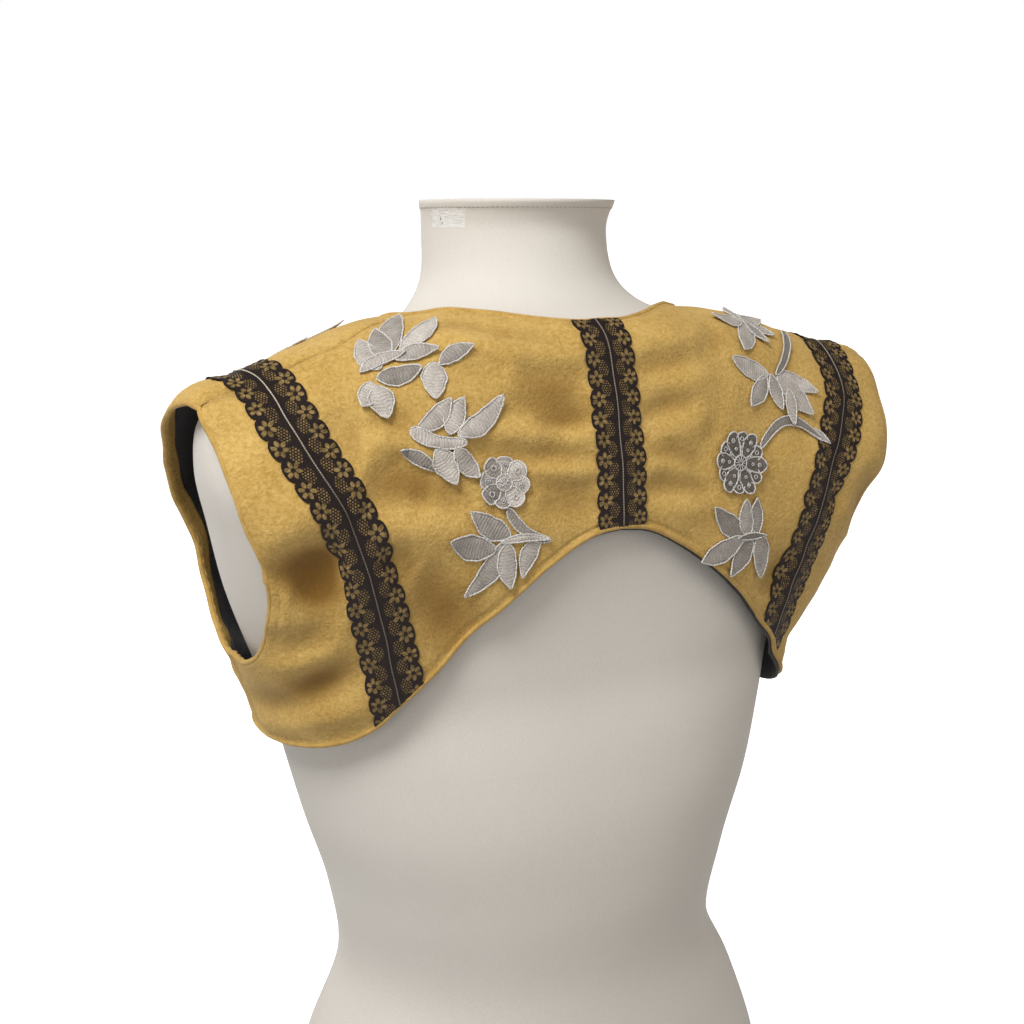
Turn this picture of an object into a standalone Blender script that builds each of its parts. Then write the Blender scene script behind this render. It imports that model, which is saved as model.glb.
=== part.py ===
"""A sleeveless cropped bolero jacket on a limbless dress form.

Sizes in the tables are millimetres and degrees; the meshes are written in metres, +Z up.
The wearer's front looks towards -Y and the wearer's left is +X.

One smooth surface carries everything. A place on it is (s, deg): s counts the rings of the
form from the top of the neck down, and deg turns round the body, 0 at the wearer's left,
90 at the centre back, 180 at the right and -90 at the centre front. The cloth lies off the
form by the ease, and every panel, lining, facing, lace band and leaf is cut out of that
one surface and moved out from it by its own height.
"""

from math import cos, pi, sin

import bmesh
import bpy
import numpy as np
from mathutils import Vector
from mathutils.bvhtree import BVHTree

MM = 0.001
PANEL = 1.4          # thickness of the outer cloth
LINING = 1.1         # thickness of the fleece lining
FACING = 1.1         # thickness of the turned facing at the armhole
FACING_WIDTH = 12.0  # how far the facing reaches in from the armhole edge
GAP = 0.3            # between layers
SEAM = 0.2           # each piece stops this far from its own edge line
LEAST_EASE = 4.6     # the outer cloth never comes nearer to the form than this
LACE_HALF = 16.0     # from the lace's centre line to the tip of a scallop
LACE_NOTCH = 2.2     # depth of the notch between two scallops
LACE_PITCH = 11.7    # from one scallop to the next
LACE = 1.0           # thickness of the lace
LACE_SEAT = 0.7      # the lace lies this far above the cloth
LEAF = 1.2           # thickness of an embroidered leaf at its rim
LEAF_CROWN = 0.5     # how much higher its middle is
LEAF_SEAT = 0.5      # the lowest leaves lie this far above the cloth
LEAF_STEP = 0.35     # a leaf that lies over another is this much higher

BACK_COLUMNS = 10    # from the facing's edge to the centre back
FRONT_COLUMNS = 8    # from the facing's edge to the front edge
SHOULDER_ROWS = 6
ARMHOLE_ROWS = 8
SIDE_ROWS = 3
EVENING = 200        # rounds that even out the spacing inside a panel
PLACE_SIZE = np.array([30.0, 3.3])  # about how many millimetres one s and one degree are

MUSTARD = (0.50, 0.30, 0.07, 1)
BLACK = (0.012, 0.011, 0.012, 1)
LACE_BLACK = (0.03, 0.018, 0.02, 1)
SILVER = (0.50, 0.48, 0.46, 1)
LINEN = (0.74, 0.71, 0.66, 1)

# the dress form, ring by ring from the neck to the base
FORM = [
    # z_side z_back z_front half_width back front mid square
    (672.0, 672, 672, 57.0, 58.0, 57, -6.5, 2.00),
    (655.0, 655, 655, 55.0, 54.5, 55, -10.0, 2.00),
    (630.0, 630, 626, 58.0, 56.0, 56, -6.0, 2.00),
    (615.0, 613, 598, 70.0, 60.0, 62, 2.5, 2.05),
    (606.0, 607, 584, 89.0, 49.0, 80, 21.5, 2.20),
    (602.0, 595, 565, 118.0, 53.5, 100, 32.0, 2.20),
    (590.5, 575, 545, 150.5, 53.5, 118, 38.0, 2.30),
    (574.0, 554, 522, 184.5, 51.5, 135, 43.0, 2.37),
    (562.0, 528, 500, 207.0, 52.0, 146, 45.0, 2.45),
    (535.0, 503, 478, 211.0, 56.0, 148, 43.5, 2.65),
    (503.0, 478, 455, 203.5, 64.0, 142, 36.0, 2.60),
    (465.0, 448, 432, 193.0, 73.5, 135, 25.0, 2.50),
    (429.0, 419, 410, 179.5, 82.5, 125, 16.0, 2.40),
    (400.0, 396, 388, 168.0, 89.5, 112, 10.5, 2.30),
    (365.0, 362, 358, 160.0, 95.5, 104, 11.0, 2.20),
    (320.0, 320, 320, 149.0, 98.5, 97, 12.5, 2.10),
    (270.0, 270, 270, 134.0, 98.5, 90, 10.5, 2.00),
    (215.0, 215, 215, 127.0, 98.0, 88, 5.0, 2.00),
    (165.0, 165, 165, 150.0, 102.5, 92, 6.0, 2.00),
    (110.0, 110, 110, 168.0, 112.0, 99, 6.0, 2.10),
    (55.0, 55, 55, 174.0, 117.0, 101, 4.0, 2.20),
    (0.0, 0, 0, 172.0, 116.0, 100, 2.0, 2.20),
]

# how far the outer cloth stands off the form
EASE = [
    # s side back30 back60 centre_back front30 front60 centre_front
    (3.0, 4.0, 4.0, 4.0, 4.0, 4.0, 4.0, 4.0),
    (4.0, 4.0, 4.0, 4.0, 4.0, 4.0, 4.0, 4.0),
    (5.0, 4.7, 4.0, 4.0, 4.0, 4.0, 4.0, 4.0),
    (6.0, 6.5, 4.0, 4.0, 5.0, 4.2, 4.0, 4.0),
    (7.0, 11.0, 4.0, 4.0, 8.0, 6.0, 4.0, 4.0),
    (8.0, 17.0, 7.0, 4.0, 11.0, 11.0, 6.0, 5.0),
    (9.0, 17.0, 21.0, 6.2, 9.0, 13.0, 8.0, 6.0),
    (10.0, 15.0, 23.0, 9.7, 9.0, 12.0, 9.0, 6.0),
    (11.0, 13.5, 19.0, 10.0, 9.0, 12.0, 9.0, 6.0),
    (12.0, 12.5, 18.0, 8.0, 8.7, 11.0, 9.0, 6.0),
    (13.0, 12.0, 14.5, 8.6, 8.8, 10.0, 9.0, 6.0),
    (14.0, 12.0, 13.0, 11.5, 9.0, 10.0, 9.0, 6.0),
]

# the largest folds: a minus depth is a trough
FOLDS = [
    # s_from deg_from s_to deg_to width depth
    (5.1, 30, 5.2, 77, 8, -1.6),     # under the neckline, left
    (6.3, 58, 6.4, 86, 9, -1.2),     # pulling into the centre lace
    (7.6, 66, 7.7, 86, 9, -1.4),
    (9.3, 40, 11.0, 41, 13, -3.0),   # hollow between armhole and lace
    (11.6, 24, 13.0, 33, 9, -2.2),   # three folds out of the underarm
    (11.1, 29, 12.1, 41, 8, -2.0),
    (12.4, 6, 13.3, 22, 8, -1.8),
    (7.0, 96, 6.7, 112, 10, -1.6),   # right of the centre lace
    (5.5, 98, 5.5, 124, 9, -1.5),
    (7.4, 114, 7.7, 124, 9, -1.4),
    (8.1, 93, 9.0, 105, 12, 1.2),
    (8.9, 120, 10.4, 126, 12, 1.3),
    (11.5, 157, 12.9, 146, 9, -2.0),  # right underarm
    (12.4, 175, 13.3, 160, 8, -1.6),
    (9.4, -31, 11.0, -40, 13, -2.2),  # left front
    (11.9, -14, 13.2, -30, 9, -2.0),
    (9.8, -62, 12.0, -66, 13, -1.5),
    (9.7, 212, 11.2, 222, 13, -2.0),  # right front
    (12.0, 196, 13.2, 208, 9, -1.8),
    (10.0, 241, 12.2, 245, 13, -1.6),
]

# edge lines of the left half, as (s, deg); the right half has 180 - deg
SHOULDER = [(7.95, 9.7), (7.5, 12), (7.0, 12.5), (6.5, 13.5), (6.1, 15.5), (5.7, 16.5), (5.2, 15),
            (4.6, 11.5), (4.0, 8.8)]
NECK = [(4.0, 8.8), (3.72, 25), (3.66, 38), (3.76, 50), (4.0, 62), (4.25, 72), (4.39, 81), (4.38, 90)]
ARMHOLE_BACK = [(7.95, 9.7), (8.26, 18.8), (8.57, 24.5), (9.0, 29.2), (9.62, 32.3), (10.1, 32.5),
                (10.6, 31), (11.2, 26.2), (11.55, 20), (11.8, 10), (11.85, 0)]
ARMHOLE_FRONT = [(7.95, 9.7), (7.98, 0), (8.2, -10), (8.8, -19), (9.5, -24), (10.3, -25), (11.0, -22),
                 (11.55, -14), (11.8, -6), (11.85, 0)]
SIDE = [(11.85, 0), (12.4, 0), (13.0, 0), (13.5, 0)]
HEM_BACK = [(13.5, 0), (13.45, 14), (13.38, 23), (13.29, 31), (13.15, 37), (12.85, 43), (12.35, 48.8),
            (11.92, 54.6), (11.36, 61), (10.6, 69.5), (9.8, 79), (9.37, 85), (9.25, 90)]
CENTRE_BACK = [(4.38, 90), (6.0, 90), (7.6, 90), (9.25, 90)]
NECK_FRONT = [(4.0, 8.8), (4.1, -8), (4.4, -26), (4.9, -44)]
FRONT_EDGE = [(4.9, -44), (5.5, -56), (6.3, -65), (7.3, -71), (8.5, -75.5), (10.0, -78), (11.6, -78),
              (12.6, -75), (13.1, -69)]
HEM_FRONT = [(13.5, 0), (13.5, -15), (13.5, -30), (13.45, -45), (13.35, -58), (13.1, -69)]

# centre lines of the lace bands, as (s, deg) of the left half
LACE_SIDE = [(13.42, -55), (11.8, -53), (10.4, -50), (9.2, -45), (8.2, -37), (7.5, -26), (6.95, -14),
             (6.95, -2), (6.92, 12), (7.1, 22), (7.42, 30), (7.93, 38.2), (8.65, 45.4), (9.22, 48.4),
             (10.1, 49.5), (11.0, 49.9), (11.6, 49.3), (12.35, 48.7)]
LACE_CENTRE = [(4.45, 90), (5.6, 90), (6.8, 90), (8.0, 90), (9.2, 90)]

# embroidered leaves, each from its foot to its tip; level says how many it lies over
SPRAY_LEFT_TOP = [
    # s_foot deg_foot s_tip deg_tip width level
    (6.10, 39.0, 5.58, 24.0, 11, 0),
    (5.86, 37.5, 5.12, 20.5, 11, 1),
    (5.74, 38.5, 4.25, 14.0, 11, 0),
    (5.66, 37.5, 4.38, 33.1, 11, 1),
    (5.80, 38.0, 5.49, 47.0, 9, 2),
    (6.05, 37.0, 5.90, 47.4, 10, 0),
    (6.22, 37.5, 6.86, 42.7, 9, 1),
    (6.18, 39.5, 7.04, 49.2, 11, 2),
    (6.26, 35.0, 5.66, 40.0, 7, 2),
]
SPRAY_LEFT_MIDDLE = [
    (5.60, 46.0, 5.21, 53.5, 8, 1),
    (5.55, 47.0, 6.62, 56.0, 11, 0),
    (7.36, 55.8, 6.50, 57.2, 9, 1),
    (7.42, 61.4, 6.48, 60.0, 10, 1),
    (7.44, 62.8, 6.42, 67.0, 10, 2),
    (7.22, 53.6, 7.46, 59.6, 6, 0),
    (7.40, 57.8, 7.38, 63.8, 6, 0),
    (8.01, 61.4, 7.67, 54.4, 6, 0),
    (7.45, 59.6, 8.26, 63.9, 11, 1),
    (7.42, 62.4, 8.04, 66.2, 9, 2),
]
SPRAY_LEFT_LOW = [
    (8.82, 72.0, 9.16, 74.6, 5, 1),
    (9.05, 73.5, 9.37, 77.6, 5, 1),
    (9.34, 73.2, 8.85, 66.1, 12, 0),
    (9.42, 71.6, 9.31, 62.6, 11, 1),
    (9.44, 70.4, 10.45, 63.6, 11, 0),
    (9.44, 70.9, 10.30, 70.4, 11, 1),
    (9.30, 76.0, 10.12, 72.4, 10, 0),
    (9.40, 69.8, 9.36, 77.2, 4, 2),
]
SPRAY_RIGHT_TOP = [
    (5.30, 150.0, 5.62, 162.0, 12, 1),
    (5.28, 149.0, 4.92, 166.0, 10, 0),
    (5.30, 148.0, 4.84, 137.3, 10, 1),
    (5.30, 148.5, 5.86, 127.8, 13, 0),
    (5.30, 149.5, 5.99, 139.4, 9, 2),
    (5.34, 152.0, 5.95, 149.0, 11, 0),
]
SPRAY_RIGHT_MIDDLE = [
    (5.90, 157.0, 6.20, 140.0, 6, 1),
    (6.10, 143.0, 6.68, 128.0, 6, 1),
    (6.62, 129.0, 5.96, 123.4, 12, 0),
    (6.60, 127.6, 7.20, 118.0, 11, 0),
    (6.62, 128.8, 7.51, 124.4, 10, 2),
    (6.64, 131.0, 7.46, 136.0, 10, 0),
    (6.70, 130.4, 7.90, 130.6, 15, 1),
    (7.10, 129.4, 7.96, 125.2, 8, 3),
    (8.16, 118.0, 7.90, 122.4, 6, 0),
    (7.90, 121.2, 7.94, 127.2, 6, 1),
    (7.92, 125.4, 8.28, 128.8, 6, 0),
]
SPRAY_RIGHT_LOW = [
    (10.04, 114.6, 9.20, 112.6, 11, 1),
    (10.04, 116.6, 9.25, 115.1, 11, 0),
    (10.00, 113.6, 9.22, 106.7, 12, 0),
    (10.02, 113.6, 10.28, 105.0, 13, 1),
    (10.06, 115.6, 10.69, 111.7, 13, 0),
    (10.04, 117.0, 10.90, 119.2, 13, 1),
    (10.00, 112.2, 10.08, 118.2, 4, 2),
]
SPRAY_FRONT = [
    (5.90, -18.0, 5.05, -12.0, 11, 0),
    (5.90, -18.0, 5.30, -30.0, 11, 1),
    (5.90, -19.0, 6.30, -31.0, 11, 0),
    (5.90, -17.0, 6.60, -20.0, 11, 1),
    (5.70, -15.0, 6.14, -20.5, 6, 2),
]

# flowers: a ring of petals about one middle
# s deg radius petals petal_width
FLOWER_LEFT = (8.22, 70.8, 14.0, 8, 9.5)
FLOWER_RIGHT = (8.40, 112.4, 18.5, 12, 9.0)


def spline(table, place):
    """Catmull-Rom through the rows of a table, read at fractional row numbers."""
    rows = np.asarray(table, float)
    place = np.clip(np.asarray(place, float), 0, len(rows) - 1)
    first = np.clip(np.floor(place).astype(int), 0, len(rows) - 2)
    u = (place - first)[..., None]
    padded = np.concatenate([2 * rows[:1] - rows[1:2], rows, 2 * rows[-1:] - rows[-2:-1]])
    a, b, c, d = (padded[first + k] for k in range(4))
    return 0.5 * (2 * b + (c - a) * u + (2 * a - 5 * b + 4 * c - d) * u**2 + (3 * b - a - 3 * c + d) * u**3)


def form_surface(s, deg):
    """A point of the dress form."""
    z_side, z_back, z_front, half, back, front, mid, square = np.moveaxis(spline(FORM, s), -1, 0)
    turn = np.radians(deg)
    c, n = np.cos(turn), np.sin(turn)
    power = np.where(n > 0, square, 2.0)
    reach = (np.abs(c) ** power + np.abs(n) ** power) ** (-1 / power)
    x = half * c * reach
    y = mid + np.where(n > 0, back, front) * n * reach
    z = z_side + np.where(n > 0, z_back - z_side, z_front - z_side) * n**2
    return np.stack([x, y, z], -1)


def normal_of(surface, s, deg):
    """Unit normal of a surface of (s, deg), pointing away from the body."""
    down = surface(s + 0.004, deg) - surface(s - 0.004, deg)
    round_ = surface(s, deg + 0.2) - surface(s, deg - 0.2)
    n = np.cross(round_, -down)
    return n / (np.linalg.norm(n, axis=-1, keepdims=True) + 1e-12)


def ease_at(s, deg):
    """Ease between the rows of the table, eased over the angle too."""
    table = np.asarray(EASE, float)
    row = spline(table[:, 1:], np.interp(s, table[:, 0], np.arange(len(table))))
    turn = np.radians(deg)
    angle = np.degrees(np.arccos(np.clip(np.abs(np.cos(turn)), 0, 1))) / 30
    low = np.clip(np.floor(angle).astype(int), 0, 2)
    u = np.clip(angle - low, 0, 1)
    u = u * u * (3 - 2 * u)
    at_front = (np.sin(turn) < 0)[..., None]
    picked = np.where(at_front, row[..., [0, 4, 5, 6]], row[..., [0, 1, 2, 3]])
    start = np.take_along_axis(picked, low[..., None], -1)[..., 0]
    end = np.take_along_axis(picked, (low + 1)[..., None], -1)[..., 0]
    return start + (end - start) * u


def fold_lines():
    """Each fold as a row of points on the form, with its width and depth."""
    lines = []
    for s_from, deg_from, s_to, deg_to, width, depth in FOLDS:
        t = np.linspace(0, 1, 9)
        points = form_surface(s_from + (s_to - s_from) * t, deg_from + (deg_to - deg_from) * t)
        lines.append((points, width, depth))
    return lines


FOLD_LINES = fold_lines()


def fold_height(points):
    """The folds' height over the plain cloth."""
    height = np.zeros(points.shape[:-1])
    for line, width, depth in FOLD_LINES:
        best = np.full(points.shape[:-1], 1e9)
        along = np.zeros(points.shape[:-1])
        for k in range(len(line) - 1):
            span = line[k + 1] - line[k]
            t = np.clip(((points - line[k]) @ span) / (span @ span), 0, 1)
            far = np.linalg.norm(points - line[k] - t[..., None] * span, axis=-1)
            along = np.where(far < best, (k + t) / (len(line) - 1), along)
            best = np.minimum(best, far)
        taper = np.clip(1.05 - (2 * along - 1) ** 4, 0, 1)
        height += depth * taper * np.exp(-((best / width) ** 2))
    return height


def cloth_surface(s, deg):
    """A point of the outer cloth's outer face."""
    s, deg = np.asarray(s, float), np.asarray(deg, float)
    base = form_surface(s, deg)
    stand = np.maximum(ease_at(s, deg) + fold_height(base), LEAST_EASE)
    return base + stand[..., None] * normal_of(form_surface, s, deg)


def line_between(table, count, start=0.0, end=None):
    """count + 1 places on a curve through the table's places, evenly spaced over the cloth.

    start and end are distances in millimetres from the curve's first place.
    """
    dense = spline(table, np.linspace(0, len(table) - 1, 40 * len(table)))
    points = cloth_surface(dense[:, 0], dense[:, 1])
    length = np.r_[0, np.cumsum(np.linalg.norm(np.diff(points, axis=0), axis=1))]
    at = np.linspace(start, length[-1] if end is None else end, count + 1)
    return np.stack([np.interp(at, length, dense[:, 0]), np.interp(at, length, dense[:, 1])], -1)


def step_along(place, vector):
    """The place on the cloth reached from places by a short move given in space."""
    place = np.array(place, float)
    target = cloth_surface(place[..., 0], place[..., 1]) + vector
    for _ in range(4):
        s, deg = place[..., 0], place[..., 1]
        rest = target - cloth_surface(s, deg)
        by_s = (cloth_surface(s + 0.01, deg) - cloth_surface(s - 0.01, deg)) / 0.02
        by_deg = (cloth_surface(s, deg + 0.2) - cloth_surface(s, deg - 0.2)) / 0.4
        aa, bb, ab = (by_s * by_s).sum(-1), (by_deg * by_deg).sum(-1), (by_s * by_deg).sum(-1)
        ra, rb = (rest * by_s).sum(-1), (rest * by_deg).sum(-1)
        whole = aa * bb - ab * ab
        place = place + np.stack([(ra * bb - rb * ab) / whole, (rb * aa - ra * ab) / whole], -1)
    return place


def side_of(line, reach):
    """Places beside a line, at its left hand when the normal points at the viewer."""
    points = cloth_surface(line[:, 0], line[:, 1])
    ahead = np.gradient(points, axis=0)
    ahead /= np.linalg.norm(ahead, axis=1, keepdims=True)
    across = np.cross(normal_of(cloth_surface, line[:, 0], line[:, 1]), ahead)
    return step_along(line, across * np.asarray(reach, float).reshape(-1, 1))


def coons(top, left, bottom, right):
    """Grid of places filled in between four edge lines, then evened out; columns run along the top."""
    u = np.linspace(0, 1, len(top))[:, None, None]
    v = np.linspace(0, 1, len(left))[None, :, None]
    ruled = (1 - v) * top[:, None] + v * bottom[:, None] + (1 - u) * left[None] + u * right[None]
    corners = ((1 - u) * (1 - v) * top[0] + u * (1 - v) * top[-1]
               + (1 - u) * v * bottom[0] + u * v * bottom[-1])
    grid = (ruled - corners) * PLACE_SIZE
    for _ in range(EVENING):
        east, west = grid[2:, 1:-1], grid[:-2, 1:-1]
        north, south = grid[1:-1, 2:], grid[1:-1, :-2]
        twist = (grid[2:, 2:] - grid[:-2, 2:] - grid[2:, :-2] + grid[:-2, :-2]) / 4
        over, down = (east - west) / 2, (north - south) / 2
        a = (down * down).sum(-1, keepdims=True)
        b = (over * down).sum(-1, keepdims=True)
        c = (over * over).sum(-1, keepdims=True)
        grid[1:-1, 1:-1] = (a * (east + west) + c * (north + south) - 2 * b * twist) / (2 * (a + c))
    return grid / PLACE_SIZE


def panel_grid(armhole, neck, inner, hem, columns, turn_side):
    """Places of one half panel: columns run in from the armhole, rows down from the neckline.

    Column 1 is the shoulder seam, the facing's edge and the side seam in turn. Column 0 is
    the armhole's edge and has cloth only along the armhole.
    """
    hole = line_between(armhole, ARMHOLE_ROWS)
    inside = side_of(hole, np.full(len(hole), turn_side * FACING_WIDTH))
    shoulder = line_between(SHOULDER, SHOULDER_ROWS, start=FACING_WIDTH)[::-1]
    side = line_between(SIDE, SIDE_ROWS, start=FACING_WIDTH)
    outer = np.concatenate([shoulder, inside[1:-1], side])
    grid = coons(line_between(neck, columns), outer, line_between(hem, columns),
                 line_between(inner, len(outer) - 1))
    edge = np.concatenate([shoulder[:-1], hole, side[1:]])
    return np.concatenate([edge[None], grid])


def mirrored(grid):
    """The same places on the wearer's right."""
    return np.stack([grid[..., 0], 180 - grid[..., 1]], -1)


def cells_of(grid, facing, lining):
    """Which cells of a half panel a piece covers."""
    keep = np.ones((grid.shape[0] - 1, grid.shape[1] - 1), bool)
    keep[0, :SHOULDER_ROWS] = False
    keep[0, SHOULDER_ROWS + ARMHOLE_ROWS:] = False
    if facing:
        keep[1:] = False
    if lining:
        keep[0] = False
    return keep


def material(name, colour, roughness):
    mat = bpy.data.materials.new(name)
    mat.use_nodes = True
    shader = mat.node_tree.nodes["Principled BSDF"]
    shader.inputs["Base Color"].default_value = colour
    shader.inputs["Roughness"].default_value = roughness
    return mat


def add_object(name, bm, mat):
    """A mesh object from a bmesh in millimetres, its faces pointing out."""
    bmesh.ops.recalc_face_normals(bm, faces=bm.faces[:])
    if bm.calc_volume(signed=True) < 0:
        bmesh.ops.reverse_faces(bm, faces=bm.faces[:])
    mesh = bpy.data.meshes.new(name)
    bm.to_mesh(mesh)
    bm.free()
    mesh.materials.append(mat)
    obj = bpy.data.objects.new(name, mesh)
    bpy.context.scene.collection.objects.link(obj)
    return obj


def flat_grid(keep, mirror_column=None):
    """A triangulated flat grid, holding each corner's column and row.

    Past the mirror column the cells are cut along their other diagonal.
    """
    columns, rows = keep.shape
    bm = bmesh.new()
    bmesh.ops.create_grid(bm, x_segments=columns, y_segments=rows, size=1.0)
    col = bm.verts.layers.int.new("column")
    row = bm.verts.layers.int.new("row")
    for v in bm.verts:
        v[col] = round((v.co.x + 1) / 2 * columns)
        v[row] = round((v.co.y + 1) / 2 * rows)
    first = {f: (min(v[col] for v in f.verts), min(v[row] for v in f.verts)) for f in bm.faces}
    last = columns if mirror_column is None else mirror_column
    left = [f for f in bm.faces if keep[first[f]] and first[f][0] < last]
    right = [f for f in bm.faces if keep[first[f]] and first[f][0] >= last]
    bmesh.ops.delete(bm, geom=[f for f in bm.faces if not keep[first[f]]], context="FACES")
    bmesh.ops.triangulate(bm, faces=left, quad_method="FIXED")
    bmesh.ops.triangulate(bm, faces=right, quad_method="ALTERNATE")
    return bm, col, row


def wall(name, mat, keep, low, high, mirror_column=None):
    """A closed wall between two skins of grid points, over the kept cells."""
    bm, col, row = flat_grid(keep, mirror_column)
    lifted = bmesh.ops.extrude_face_region(bm, geom=bm.faces[:])
    upper = {v for v in lifted["geom"] if isinstance(v, bmesh.types.BMVert)}
    for v in bm.verts:
        v.co = Vector((high if v in upper else low)[v[col], v[row]])
    return add_object(name, bm, mat)


def drawn_in(points, keep, by):
    """Grid points with those on the edge of the kept cells moved in a little."""
    columns, rows = keep.shape
    moved = points.copy()
    for i in range(columns + 1):
        for j in range(rows + 1):
            around = [(c, r) for c in (i - 1, i) for r in (j - 1, j) if 0 <= c < columns and 0 <= r < rows]
            kept = [(c, r) for c, r in around if keep[c, r]]
            if kept and len(kept) < 4:
                middle = np.mean([points[c:c + 2, r:r + 2].reshape(4, 3).mean(0) for c, r in kept], 0)
                way = middle - points[i, j]
                moved[i, j] += way / np.linalg.norm(way) * by * 1.5
    return moved


def cloth_piece(name, mat, grid, keep, below, above, mirror_column=None):
    """A wall of cloth over kept cells, from below to above the outer face."""
    s, deg = grid[..., 0], grid[..., 1]
    face = cloth_surface(s, deg)
    out = normal_of(cloth_surface, s, deg)
    low = drawn_in(face + below * out, keep, SEAM)
    high = drawn_in(face + above * out, keep, SEAM)
    return wall(name, mat, keep, low, high, mirror_column)


def tree_of(objects):
    """What lies on the cloth is set down on these faces."""
    points, faces = [], []
    for obj in objects:
        base = len(points)
        points += [v.co.copy() for v in obj.data.vertices]
        faces += [[base + i for i in f.vertices] for f in obj.data.polygons]
    return BVHTree.FromPolygons(points, faces)


def seat(tree, places):
    """Points on the panels' outer faces at these places, and the normals there."""
    s, deg = places[..., 0], places[..., 1]
    smooth = cloth_surface(s, deg)
    out = normal_of(cloth_surface, s, deg)
    sat = smooth.copy()
    for index in np.ndindex(smooth.shape[:-1]):
        hit = tree.ray_cast(Vector(smooth[index] + 6 * out[index]), Vector(-out[index]), 12)
        if hit[0] is not None:
            sat[index] = hit[0]
    return sat, out


def lifted_clear(tree, places, sat, out):
    """Corners raised where the cloth between two of them stands higher than both."""
    sat = sat.copy()
    for _ in range(4):
        lift = np.zeros(sat.shape[:2])
        for a, b in (((slice(1, None), slice(None)), (slice(None, -1), slice(None))),
                     ((slice(None), slice(1, None)), (slice(None), slice(None, -1))),
                     ((slice(1, None), slice(1, None)), (slice(None, -1), slice(None, -1))),
                     ((slice(1, None), slice(None, -1)), (slice(None, -1), slice(1, None)))):
            for share in (0.3, 0.5, 0.7):
                between, normal = seat(tree, places[a] * share + places[b] * (1 - share))
                short = ((between - sat[a] * share - sat[b] * (1 - share)) * normal).sum(-1)
                lift[a] = np.maximum(lift[a], short)
                lift[b] = np.maximum(lift[b], short)
        sat += lift[..., None] * out
    return sat


def lace_band(name, mat, tree, table, mirror):
    """A scalloped band along a line: two rows of corners for each scallop."""
    dense = line_between(table, 60)
    points = cloth_surface(dense[:, 0], dense[:, 1])
    length = np.linalg.norm(np.diff(points, axis=0), axis=1).sum()
    scallops = max(2, round(length / LACE_PITCH))
    line = line_between(table, 2 * scallops)
    bulge = LACE_HALF - LACE_NOTCH * (np.arange(len(line)) % 2 == 0)
    across = [-1.0, 0.0, 1.0]
    places = np.stack([side_of(line, bulge * a) for a in across])
    if mirror:
        places = mirrored(places)
    sat, out = seat(tree, places)
    sat = lifted_clear(tree, places, sat, out)
    keep = np.ones((len(across) - 1, len(line) - 1), bool)
    return wall(name, mat, keep, sat + LACE_SEAT * out, sat + (LACE_SEAT + LACE) * out)


def leaf_body(tree, foot, tip, width, level, sides=8):
    """One embroidered leaf: a pointed oval from foot to tip, with a raised middle."""
    both = cloth_surface(np.array([foot[0], tip[0]]), np.array([foot[1], tip[1]]))
    length = np.linalg.norm(both[1] - both[0])
    middle = (np.array(foot) + np.array(tip)) / 2
    out = normal_of(cloth_surface, middle[0], middle[1])
    ahead = both[1] - both[0]
    ahead = ahead - (ahead @ out) * out
    ahead /= np.linalg.norm(ahead)
    across = np.cross(out, ahead)
    bm = bmesh.new()
    bmesh.ops.create_circle(bm, cap_ends=True, cap_tris=True, segments=sides, radius=1.0)
    rim = [v for v in bm.verts if v.co.length > 0.5]
    moves = {}
    for v in bm.verts:
        x, y = v.co.x, v.co.y
        wide = width / 2 * (1 - 0.25 * x)
        moves[v] = ahead * x * length / 2 + across * y * wide if v in rim else ahead * 0
    order = list(bm.verts)
    places = step_along(np.repeat(middle[None], len(order), 0), np.array([moves[v] for v in order]))
    sat, normals = seat(tree, places)
    hub = next(k for k, v in enumerate(order) if v not in rim)
    between = seat(tree, (places + places[hub]) / 2)[0]
    short = ((between - (sat + sat[hub]) / 2) * normals).sum(-1).max()
    low = LEAF_SEAT + LEAF_STEP * level + max(0.0, short)
    for v, p, n in zip(order, sat, normals):
        v.co = Vector(p + low * n)
    on_rim = set(rim)
    pairs = {tuple(round(c, 4) for c in v.co): (n, v in on_rim) for v, n in zip(order, normals)}
    lifted = bmesh.ops.extrude_face_region(bm, geom=bm.faces[:])
    for v in lifted["geom"]:
        if isinstance(v, bmesh.types.BMVert):
            n, at_rim = pairs[tuple(round(c, 4) for c in v.co)]
            v.co += Vector(n * (LEAF if at_rim else LEAF + LEAF_CROWN))
    return bm


def flower_leaves(s, deg, radius, petals, petal_width):
    """The petals of a flower as leaves, level 0 and 1 by turns, and a round middle over them."""
    rows = []
    middle = np.array([s, deg], float)
    out = normal_of(cloth_surface, middle[0], middle[1])
    up = np.array([0.0, 0.0, 1.0])
    up = up - (up @ out) * out
    up /= np.linalg.norm(up)
    across = np.cross(up, out)
    for k in range(petals):
        a = 2 * pi * k / petals + 0.17
        way = up * cos(a) + across * sin(a)
        ends = step_along(np.stack([middle, middle]), np.stack([way * 1.5, way * radius]))
        rows.append((*ends[0], *ends[1], petal_width, k % 2))
    ends = step_along(np.stack([middle, middle]), np.stack([across * -5.4, across * 5.2]))
    rows.append((*ends[0], *ends[1], 9.4, 2))
    return rows


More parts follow.
